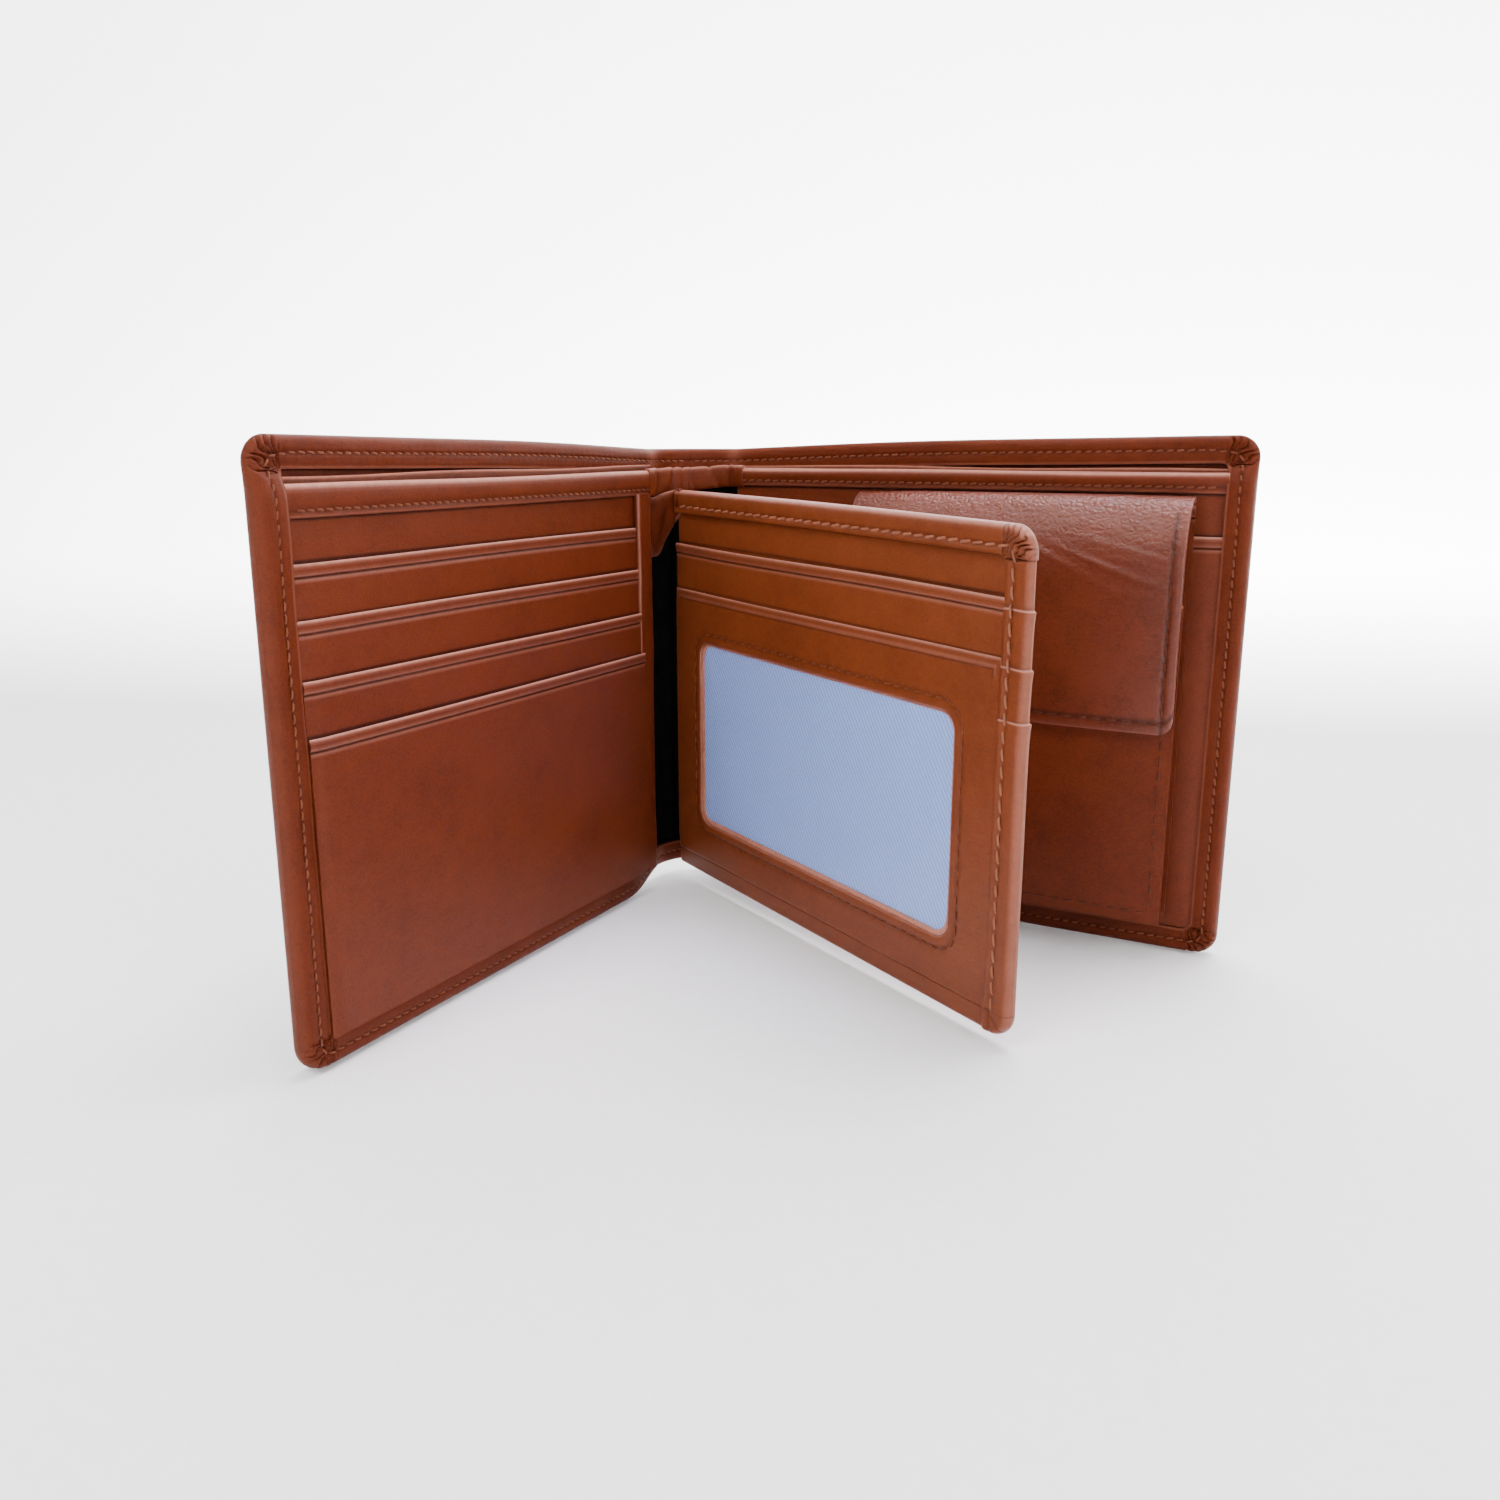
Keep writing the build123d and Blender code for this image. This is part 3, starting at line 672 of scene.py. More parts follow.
def outline_heights(s):
    """Bottom and top of the skin at s: eased down to the spine, slightly wavy."""
    run = np.abs(s) - ARC
    low_ease = (1 - np.clip(run / EASE, 0, 1)) ** 2
    top_ease = (1 - np.clip(run / HALF, 0, 1)) ** 1.6
    top = HEIGHT - (HEIGHT - SPINE_TOP) * top_ease + 0.12 - 0.1 * np.sin(s / 13.0 + 1.0)
    return SPINE_BOTTOM * low_ease, top


def edges_near(s, z):
    """Distances from the outer, lower and upper edges and the nearest, and the place along it."""
    a, low, high = LENGTH - s, z, HEIGHT - z
    ends = np.minimum(low, high)
    return a, low, high, np.minimum(a, ends), np.where(a < ends, z, s)


def border_levels(s, high):
    """Depth of the border's face down the outer side and along the bottom."""
    extra = SIDE_DEPTH - TOP_DEPTH
    side = TOP_DEPTH + extra * smooth((high - 2.0) / 7.0)
    return side, TOP_DEPTH + extra * smooth((s - ARC - 1.0) / 13.0)


def corner_gathers(a, low, high, width):
    return pleats(a, low, width) + pleats(a, high, width)


def cover_relief(s, z):
    """Depth of the cover's inner face before its edge is rolled: border, gathers, stitch groove."""
    a, low, high, d, along = edges_near(s, z)
    side_depth, low_depth = border_levels(s, high)
    border_end = BORDER + 0.06
    steps = ((side_depth, a), (low_depth, low), (TOP_DEPTH, high))
    level = np.maximum.reduce([PLAIN + (t - PLAIN) * within(x, border_end) for t, x in steps])
    on_border = within(d, border_end)
    crown = 0.14 * np.sin(np.clip(d / BORDER, 0, 1) * math.pi) - 0.1 * bump_at(d - 4.6, 0.3)
    wave = wave_of(along, BORDER_PITCH)
    groove = bump_at(d - STITCH_INSET, 0.32) * (0.16 + 0.07 * wave)
    pull = 0.05 * bump_at(d - STITCH_INSET, 1.6) * wave
    gather = corner_gathers(a, low, high, BORDER)
    calm = 1 - smooth(-gather * 3) * 0.7
    soft = 0.1 * ripple(s, z, 4.0, 3) * on_border * smooth(d / 1.5)
    return level + on_border * (crown + 0.85 * gather) - calm * on_border * (groove + pull) + soft


def cover_middle(s, z):
    """Middle depth of the skin, round which its edge is rolled."""
    a, low, high, d, _ = edges_near(s, z)
    side, bottom = border_levels(s, high)
    edge = np.where((a <= low) & (a <= high), side, np.where(low <= high, bottom, TOP_DEPTH))
    return 0.5 * np.where(d < 5, edge, PLAIN)


def cover_front(s, z):
    middle, d = cover_middle(s, z), edges_near(s, z)[3]
    rolled = middle + (cover_relief(s, z) - middle) * round_off(d, ROLL)
    return rolled + 0.12 * ripple(s, z, 17.0, 5) * smooth(z / 20)


def cover_back(s, z):
    a, low, high, d, along = edges_near(s, z)
    groove = bump_at(d - STITCH_INSET, 0.32) * (0.14 + 0.06 * wave_of(along, BORDER_PITCH))
    frame_line = 0.08 * bump_at(d - 5.0, 0.5)
    wave = 0.12 * ripple(s, z, 17.0, 5) * smooth(d / 8)
    rolled = cover_middle(s, z) * (1 - round_off(d, ROLL))
    return rolled + wave + groove + frame_line - 0.1 * corner_gathers(a, low, high, 1.6)


# Paler outer rim, border step edge and fold line: rubbing and painted highlight.
def cover_wear_and_highlight(s, z):
    d = edges_near(s, z)[3]
    rim = 0.08 * bump_at(d - 0.1, 0.5) + 0.3 * bump_at(d - 4.55, 0.2)
    return np.clip(rim + 0.25 * bump_at(s - ARC, 1.8), 0, 1)


# Painted shade: in the stitch groove, under the border's inner step and in the gathers' creases.
def cover_shade(s, z):
    a, low, high, d, _ = edges_near(s, z)
    crease = np.clip(-corner_gathers(a, low, high, BORDER) - 0.45, 0, 1)
    lines = 0.4 * bump_at(d - STITCH_INSET, 0.3) + 0.85 * bump_at(d - 4.9, 0.14)
    return np.clip(lines + 1.1 * crease * (d > 0.2), 0, 1)


def skin(side, label):
    """One half of the cover leather, from the middle of the spine to its turned outer edge."""
    edge = edge_lines(BORDER)
    s_lines = np.concatenate([np.linspace(0, LENGTH - 7.0, 160), (LENGTH - edge)[::-1]])
    inner = np.linspace(7.0, HEIGHT - 7.0, 118)
    z_lines = np.concatenate([edge, inner, (HEIGHT - edge)[::-1]])

    def warp(s, z):
        a, z = rounded_sheet(LENGTH - s, z, 0, HEIGHT)
        bottom, top = outline_heights(LENGTH - a)
        return side * (LENGTH - a), bottom + z / HEIGHT * (top - bottom)

    marks = dict(wear=cover_wear_and_highlight, shade=cover_shade)
    obj = plaque(f"cover_{label}", s_lines, z_lines, cover_front, cover_back, warp, place, OUTER,
                 **marks)
    return soft_edges(obj, 60)


def half_point(side, u, v=0.5):
    """A point on one half, u from its fold line (negative is on the spine), in metres."""
    return tuple(place(side * (ARC + u), 50.0, v) / MM)


def cross_fold(obj, side, reach=7.0):
    """Bakes a piece that crosses a fold line, between the half and the spine, into its mesh."""
    half_point(side, reach)
    half_point(side, -reach)
    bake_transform(obj)


def mirrored(side, obj):
    """Faces of a piece built on the left half point inward, so they are turned round."""
    if side < 0:
        obj.data.flip_normals()
    return obj


for side, label in SIDES:
    cover = mirrored(side, skin(side, label))
    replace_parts(cover, f"{label}_cover", f"{label}_border", f"{label}_top_turning")
    if side > 0:
        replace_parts(cover, "spine_cover", "spine_foot_band")
    cross_fold(cover, side)


def border_path(radius=2.2):
    """The stitch line round a half: along the bottom, up the outer side, back along the top."""
    far, low, high = LENGTH - STITCH_INSET, STITCH_INSET, HEIGHT - STITCH_INSET
    x, turn = far - radius, [(math.cos(t), math.sin(t)) for t in np.linspace(0, math.pi / 2, 6)]
    path = [(s, outline_heights(s)[0] + STITCH_INSET) for s in np.linspace(1.0, ARC + EASE, 24)]
    path += [(x + radius * sin, low + radius - radius * cos) for cos, sin in turn]
    path += [(x + radius * cos, high - radius + radius * sin - 0.3) for cos, sin in turn]
    top = np.linspace(LENGTH - 8, 1.0, 60)
    return path + [(s, outline_heights(s)[1] - STITCH_INSET) for s in top]


def border_height(s, z):
    """Depth of the border's face at its stitch line."""
    side, bottom = border_levels(s, HEIGHT - z)
    if z < 6:
        return bottom + 0.02
    return (side if LENGTH - s < 4 else TOP_DEPTH) + 0.02


for side, label in SIDES:
    onto = lambda s, z, v, side=side: place(side * s, z, v)
    name = f"{label}_border_stitches"
    inner = seam(f"{name}_inside", border_path(), border_height, onto,
                 material=LIT_THREAD, **BORDER_ROW)
    outer = seam(f"{name}_outside", border_path(), 0.1, onto, up=-1, **BORDER_ROW)
    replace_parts(inner, name)
    for thread in (inner, outer):
        mirrored(side, thread)
        cross_fold(thread, side)


# Sewn panels: each piece is made in two parts, a near and a far one ------------------------------
Panel = namedtuple("Panel", "side bodies near far")
SPLIT = 50.0  # where the near part meets the far part
PANEL_FAR = HALF - BORDER + 0.15
RIGHT = Panel(1, ("right_half", "right_panel"), (2.0, 24.0), (97.6, 84.0))
LEFT = Panel(-1, ("left_half", "left_panel"), (3.0, 24.0), (97.6, 84.0))


def bow(amount, seed):
    """Gentle forward bow and waviness of a panel, strongest at its free top edge."""

    def depth(s, z):
        u = np.clip((np.abs(s) - ARC) / HALF, 0, 1)
        rise = smooth(z / 90.0)
        tuck = 0.3 * smooth((np.abs(s) - LENGTH + BORDER + 2.2) / 2.0)
        return -tuck + amount * np.sin(u * math.pi) * rise + 0.1 * ripple(s, z, 9.0, seed) * rise

    return depth


def depth_range(node, side):
    low, high = node_box(node)
    if side > 0:
        return cover_high[1] - high[1], cover_high[1] - low[1]
    left_face = node_box("left_cover")[0][0]
    return low[0] - left_face, high[0] - left_face


def settle(obj, panel, part, node):
    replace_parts(mirrored(panel.side, obj), node)
    start, end = panel.near if part == "near" else panel.far
    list(panel.bodies)
    half_point(panel.side, start)
    half_point(panel.side, end)
    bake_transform(obj)


def sewn(name, panel, span, outline, node, material=INNER, slot_name="inner_leather", **options):
    """A panel piece on one half, in a near and a far part."""
    for part, ends in (("near", (span[0], SPLIT)), ("far", (SPLIT, span[1]))):
        strip = tuple(panel.side * (ARC + u) for u in ends)
        obj = band(f"{name}_{part}", strip, outline, material, **options)
        settle(obj, panel, part, node)


def sewn_seam(name, panel, span, z, depth, node, bow):
    side = panel.side
    level = lambda u, z: depth + float(bow(side * (ARC + u), z))
    onto = lambda u, z, v: place(side * (ARC + u), z, v)
    for part, ends in (("near", (span[0], SPLIT)), ("far", (SPLIT, span[1]))):
        path = [(u, z) for u in np.linspace(*ends, 30)]
        settle(seam(f"{name}_{part}", path, level, onto, **BORDER_ROW), panel, part, node)


right_bow, left_bow = bow(0.25, 2), bow(0.08, 4)


def hemmed_panel(label, panel, start, hem_start, seam_start, curve, pocket, sag):
    """A half's inner panel, with its rolled hem and the hem's stitches."""
    back, face = depth_range(f"{label}_inner_panel", panel.side)
    hem_face = depth_range(f"{label}_top_hem", panel.side)[1]
    hem_low, hem_top = bottom_of(f"{label}_top_hem"), top_of(f"{label}_top_hem")
    top = top_of(f"{label}_inner_panel") - 0.5
    outline = folded(5.0, top, back, face, mouth=top_of(pocket), under=hem_low)
    node = f"{label}_inner_panel"
    sewn(f"{label}_panel_sheet", panel, (start, PANEL_FAR), outline, node, bow=curve)
    sewn(f"{label}_hem", panel, (hem_start, PANEL_FAR + 0.2), hem(hem_low, hem_top, back, hem_face),
         f"{label}_top_hem", bow=curve, sag=sag)
    sewn_seam(f"{label}_hem_stitch_row", panel, (seam_start, HALF - BORDER - 1.5), hem_low + 1.1,
              hem_face - 0.02, f"{label}_hem_stitches", curve)


for side, label in SIDES:
    node = f"{label}_divider"
    lean = Panel(side, (f"{label}_half", node), (2.0, 24.0), (97.6, 84.0))
    outline = folded(bottom_of(node), top_of(node) - 0.1, *depth_range(node, side), 3.0, 0.03, 0.05)
    sewn(f"{node}_sheet", lean, (1.0, PANEL_FAR), outline, node, DIVIDER, "divider_leather",
         sag=lambda s: 0.6 + 0.15 * np.sin(s / 9.0), bow=bow(0.1, 6))

hemmed_panel("right", RIGHT, 1.6, 1.6, 2.5, right_bow, "hidden_pocket",
             lambda s: 0.5 + 0.1 * np.sin(s / 11.0))
back, face = depth_range("hidden_pocket", 1)
sewn("hidden_pocket_facing", RIGHT, (1.6, PANEL_FAR),
     folded(5.0, top_of("hidden_pocket"), back + 0.05, face, lift=0.06), "hidden_pocket",
     bow=right_bow)
hemmed_panel("left", LEFT, 4.6, 2.5, 3.5, left_bow, "card_slot_1",
             lambda s: 0.1 + 0.1 * np.sin(s / 13.0))
for number in range(1, 5):
    node, last = f"card_slot_{number}", number == 4
    outline = folded(
        5.0 if last else bottom_of(node), top_of(node), *depth_range(node, -1),
        1.9, 0.06, 0.16, 0.2, mouth=None if last else top_of(f"card_slot_{number + 1}"),
    )
    sewn(f"{node}_facing", LEFT, (8.6, PANEL_FAR), outline, node, bow=left_bow,
         sag=lambda s, k=number: 0.12 + 0.12 * np.sin(s / (17.0 + 3 * k) + k))


def spine_strip():
    """The narrow upright strip that covers the card pockets' inner ends."""
    node = "left_spine_strip"
    z = np.linspace(bottom_of(node) - 0.8, top_of(node) + 0.6, 120)[:, None]
    turn = np.linspace(0, 2 * math.pi, 28, endpoint=False)[None, :]
    c, t = np.cos(turn), np.sin(turn)
    back, face = depth_range(node, -1)
    face = face + 0.9
    half_width = 2.3 + 0.12 * np.sin(z / 7.0)
    u = 7.0 + half_width * squared(c, 0.4) + 0.1 * np.sin(z / 11.0)
    v = (back + face) / 2 + (face - back) / 2 * squared(t, 0.45)
    v = v + 0.1 * ripple(u * 3, z, 3.0, 8) * (t > 0)
    s, z = -(ARC + u), z + 0 * u
    # Paler along the strip's two front edges: rubbing and painted highlight.
    wear = 0.5 * bump_at(np.abs(c) - 0.9, 0.15) * (t > 0) + 0 * z
    flat = np.stack([s, z, v], -1)
    obj = soft_edges(loft(f"{node}_leather", place(s, z, v), INNER, flat, wear=wear))
    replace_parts(obj, node)
    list(LEFT.bodies)
    half_point(-1, 3.0)
    half_point(-1, 24.0)
    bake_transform(obj)


spine_strip()


# Spine ------------------------------------------------------------------------------------------
def across_spine(name, heights, depths, material, reach, node, crumple=0.0, roll=0.0):
    """A band across the spine in two parts, each reaching past its own fold line."""
    ring = np.linspace(0, 2 * math.pi, 24, endpoint=False)[None, :]
    c, t = np.sin(ring), np.cos(ring)
    for side, label in SIDES:
        s = np.linspace(0, ARC + reach[label], 60)[:, None]
        to_half = smooth(s / ARC)
        low, high = (m + (h - m) * to_half for m, h in zip(heights["spine"], heights[label]))
        z = (low + high) / 2 + (high - low) / 2 * squared(c, 0.5)
        stepped = smooth((s - ARC + 2.0) / 5.0)
        back, face = (m + (h - m) * stepped for m, h in zip(depths["spine"], depths[label]))
        v = (back + face) / 2 + (face - back) / 2 * squared(t, 0.5)
        drift = 1.1 * np.sin(s * 0.45 + side) + 0.35 * np.sin(z * 0.8 + s)
        pleat = np.abs(np.sin(s * 0.85 + drift + 0.2 * z)) ** 0.45 - 0.6
        folds = crumple * pleat * bump_at(s - 4, 8.0)
        v, z = v + folds * (t > 0), z + 0.6 * folds * (c > 0.3)
        # roll makes the band's top edge paler: rubbing and painted highlight.
        wear = roll * bump_at(c - 1.0, 0.35) + 0 * s
        strip = side * s + 0 * z
        flat = np.stack([strip, z, v], -1)
        obj = loft(f"{name}_{label}", place(strip, z, v), material, flat, wear=wear)
        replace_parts(mirrored(side, soft_edges(obj)), node)
        cross_fold(obj, side)


level = (SPINE_BOTTOM + 0.5, SPINE_TOP - 3.0)
across_spine("spine_lining", dict(spine=level, right=level, left=level),
             dict(spine=(0.9, 1.5), right=(0.9, 1.5), left=(0.9, 1.5)),
             BLACK_SHADED, dict(right=1.5, left=5.5), "spine_lining")
across_spine("spine_hem", dict(spine=(84.0, 88.7), right=(84.8, 89.2), left=(83.1, 88.7)),
             dict(spine=(1.5, 2.6), right=(2.8, 4.5), left=(2.8, 4.3)),
             INNER, dict(right=3.2, left=4.2), "spine_hem_band", 0.5, 0.8)


# Centre leaf ------------------------------------------------------------------------------------
HEM_WIDTH, STRIP_WIDTH, BOTTOM_WIDTH = 4.7, 4.9, 3.7
HEM_FACE, STRIP_FACE, BOTTOM_FACE = 1.45, 1.2, 1.0
PANEL_FACE, SHEET_BACK = 0.45, -0.55
LEAF_ROLL = 0.85
SIDE_SEAM, HEM_SEAM = 3.35, 3.3  # stitch lines in from the outer and upper edges
WRAPS = (70.8, 62.0, 53.9)  # heights where the back pockets' edges wrap round
WRAP_STEP, BACK_STEP = 0.14, 0.17


def leaf_edges(along, z):
    """Distances from the leaf's outer, lower and upper edges, and from the nearest of them."""
    a, low, high = LEAF_LENGTH - along, z - LEAF_BOTTOM, LEAF_TOP - z
    return a, low, high, np.minimum(np.minimum(a, low), high)


def leaf_sewing(a, high):
    """Distance from the stitch line, along the side or the hem, whichever edge is nearer."""
    return np.where(a < high, a - SIDE_SEAM, high - HEM_SEAM)


def mitred(a, low):
    """True where the strip and the bottom edge meet."""
    return (np.maximum(a, low) < PATCH) & (np.minimum(a, low) < 3.6)


def leaf_warp(along, z):
    a = leaf_edges(along, z)[0]
    a_new, z_new = rounded_sheet(a, z, LEAF_BOTTOM, LEAF_TOP)
    past = [w - z for w in WRAPS]
    notch = sum(0.4 * smooth(p / 0.15) * np.exp(-np.clip(p, 0, None) / 2.2) for p in past)
    outward = notch * smooth((STRIP_WIDTH - a) / 2.5)
    lift = 0.25 * np.sin(along / 31.0) * smooth((z - 40) / 40)
    return LEAF_LENGTH - a_new + outward, z_new + lift


def leaf_relief(along, z):
    """Depth of the window side before its edges are rolled: hem, strip, gathers and stitches."""
    a, low, high, _ = leaf_edges(along, z)
    on_side, on_hem = within(a, STRIP_WIDTH + 0.05), within(high, HEM_WIDTH + 0.05)
    strip = STRIP_FACE + sum(WRAP_STEP * smooth((w - z) / 0.12) for w in WRAPS)
    level = np.maximum.reduce([
        PANEL_FACE + (strip - PANEL_FACE) * on_side,
        PANEL_FACE + (HEM_FACE - PANEL_FACE) * on_hem,
        PANEL_FACE + (BOTTOM_FACE - PANEL_FACE) * within(low, BOTTOM_WIDTH + 0.05),
    ])
    d, on_edge = np.minimum(a, high), np.maximum(on_side, on_hem)
    wave = wave_of(np.where(a < high, z, along), PITCH)
    groove = bump_at(leaf_sewing(a, high), 0.28) * (0.14 + 0.08 * wave) * on_edge
    gather = pleats(a, high, HEM_WIDTH, 8)
    mitre = bump_at(a - low, 0.35) * np.where(mitred(a, low), 0.22, 0)
    crown = 0.1 * np.sin(np.clip(d / 3.0, 0, 1) * math.pi) * on_edge
    rumple = 0.07 * ripple(along, z, 2.2, 9) * on_edge * smooth(d / 1.5)
    lip = 0.12 * bump_at(np.where(a < high, a - 4.3, high - 4.1), 0.35) * on_edge
    return level + crown + lip + gather * on_edge - groove - mitre + rumple


def leaf_front(along, z):
    edge = leaf_edges(along, z)[3]
    return 0.1 + (leaf_relief(along, z) - 0.1) * round_off(edge, LEAF_ROLL)


def leaf_back(along, z):
    _, _, high, edge = leaf_edges(along, z)
    hem_step = 0.5 * within(high, HEM_WIDTH + 0.05)
    steps = sum(BACK_STEP * smooth((w - z) / 0.12) for w in WRAPS)
    fold = sum(0.07 * bump_at(w - 1.9 - z, 0.2) for w in WRAPS)
    depth = SHEET_BACK - hem_step - steps + fold + 0.05 * ripple(along, z, 6.0, 12)
    return 0.1 + (depth - 0.1) * round_off(edge, LEAF_ROLL)


# Paler rims, top edge and pocket wrap edges: rubbing and painted highlight.
def leaf_wear_and_highlight(along, z):
    a, _, high, edge = leaf_edges(along, z)
    wraps_line = sum(bump_at(w - z, 0.14) for w in WRAPS) * (a < STRIP_WIDTH)
    top_rub_and_highlight = 0.4 * bump_at(high - 0.2, 0.6)
    return np.clip(0.2 * bump_at(edge - 0.1, 0.45) + top_rub_and_highlight + 0.9 * wraps_line, 0, 1)


# Painted shade: at the hem's and strip's inner steps, under each wrap, in the gathers' and mitre's
# creases, along the stitch line, above the bottom band and in the card slot's mouth.
def leaf_shade(along, z):
    a, low, high, _ = leaf_edges(along, z)
    rim = np.minimum(np.abs(a - STRIP_WIDTH - 0.05), np.abs(high - HEM_WIDTH - 0.05))
    under = sum(bump_at(z - w - 0.16, 0.12) for w in WRAPS) * (a < STRIP_WIDTH) * 0.8
    crease = 1.1 * np.clip(-pleats(a, high, HEM_WIDTH, 8) - 0.4, 0, 1)
    mitre = 0.7 * bump_at(a - low, 0.2) * mitred(a, low)
    line = 0.35 * bump_at(leaf_sewing(a, high), 0.3) * (np.minimum(a, high) < 4)
    low_rim = 0.6 * bump_at(low - BOTTOM_WIDTH - 0.02, 0.12)
    mouth = 0.9 * bump_at(z - top_of("leaf_card_slot") - 0.1, 0.25) * (a > STRIP_WIDTH)
    return np.clip(line + 0.8 * bump_at(rim, 0.14) + low_rim + mouth + under + crease + mitre, 0, 1)


def on_leaf(obj, slot_name, *nodes):
    if nodes:
        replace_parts(obj, *nodes)
    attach(obj, "leaf")
    return obj


def leaf_body():
    """The leaf's sheet with its hem, turned outer strip and gathered corner."""
    inner = np.linspace(-0.7, LEAF_LENGTH - 7.2, 141)
    l_lines = np.concatenate([inner, (LEAF_LENGTH - edge_lines(STRIP_WIDTH))[::-1]])
    z_lines = [LEAF_BOTTOM + edge_lines(BOTTOM_WIDTH), LEAF_TOP - edge_lines(HEM_WIDTH)]
    z_lines.append(np.linspace(LEAF_BOTTOM + 5.4, LEAF_TOP - 6.6, 100))
    z_lines += [w + np.array([-0.25, -0.06, 0.0, 0.06, 0.25]) for w in WRAPS]
    z_lines.append(top_of("leaf_card_slot") + np.array([-0.3, -0.1, 0.1, 0.3, 0.5]))
    z_lines = np.unique(np.concatenate(z_lines))
    return soft_edges(plaque("leaf_sheet", l_lines, z_lines, leaf_front, leaf_back, leaf_warp,
                             place_leaf, LEAF_LEATHER, wear=leaf_wear_and_highlight, shade=leaf_shade), 60)


leaf_sheet = on_leaf(
    leaf_body(), "inner_leather", "leaf_core", "leaf_front_panel", "leaf_front_hem",
    "leaf_back_panel", "leaf_back_hem", *[f"leaf_back_pocket_{k}" for k in (1, 2, 3)],
)
POCKET_END = LEAF_LENGTH - STRIP_WIDTH + 0.1
outline = folded(58.0, top_of("leaf_card_slot"), PANEL_FACE - 0.05, 0.86, 2.0, 0.1, 0.16,
                 mouth=top_of("window_frame"))
leaf_slot = band("leaf_card_slot_facing", (-0.9, POCKET_END), outline, LEAF_LEATHER, put=place_leaf,
                 sag=lambda s: 0.15 + 0.15 * np.sin(s / 14.0))
on_leaf(leaf_slot, "inner_leather", "leaf_card_slot")


def rounded_rectangle(x_range, z_range, radius, count):
    """Evenly spaced points round a rounded rectangle, and their outward normals."""
    (x0, x1), (z0, z1) = (np.array([r[0] + radius, r[1] - radius]) for r in (x_range, z_range))
    centres = np.array([(x0, z0), (x1, z0), (x1, z1), (x0, z1)])
    bend = radius * math.pi / 2
    total = 2 * (x1 - x0 + z1 - z0) + 4 * bend
    points, normals = [], []
    for k in range(count):
        at = k * total / count
        for leg in range(4):
            turn = leg * math.pi / 2
            run = np.linalg.norm(centres[(leg + 1) % 4] - centres[leg])
            if at <= run:
                centre = centres[leg] + np.array([math.cos(turn), math.sin(turn)]) * at
                angle = turn - math.pi / 2
                break
            at -= run
            if at <= bend:
                centre, angle = centres[(leg + 1) % 4], at / radius - math.pi / 2 + turn
                break
            at -= bend
        normals.append((math.cos(angle), math.sin(angle)))
        points.append(centre + radius * np.array(normals[-1]))
    return np.array(points), np.array(normals)


film_low, film_high = node_box("window_film")
WINDOW_X = (8.4, 85.4)
WINDOW_Z = (film_low[2] + 3.0, film_high[2] - 3.0)
WINDOW_RADIUS = 3.2
FRAME_TOP = top_of("window_frame")
FRAME_BOTTOM = LEAF_BOTTOM + BOTTOM_WIDTH - 0.2
FRAME_X = (-1.1, POCKET_END)
FRAME_FACE, FRAME_BACK = 1.12, 0.72


def window_outline(grow, radius, count):
    spans = ((low - grow, high + grow) for low, high in (WINDOW_X, WINDOW_Z))
    return rounded_rectangle(*spans, radius, count)


def frame_rim(hole, out):
    """Where each opening point's normal meets the frame's outer rectangle, corners included."""
    room = np.full(len(hole), np.inf)
    for axis, span in enumerate((FRAME_X, (FRAME_BOTTOM, FRAME_TOP))):
        for limit, sign in zip(span, (-1, 1)):
            towards = sign * out[:, axis] > 1e-6
            run = (limit - hole[towards, axis]) / out[towards, axis]
            room[towards] = np.minimum(room[towards], run)
    rim = hole + out * room[:, None]
    for corner in [(x, z) for x in FRAME_X for z in (FRAME_BOTTOM, FRAME_TOP)]:
        rim[np.argmin(np.linalg.norm(rim - np.array(corner), axis=1))] = corner
    return rim


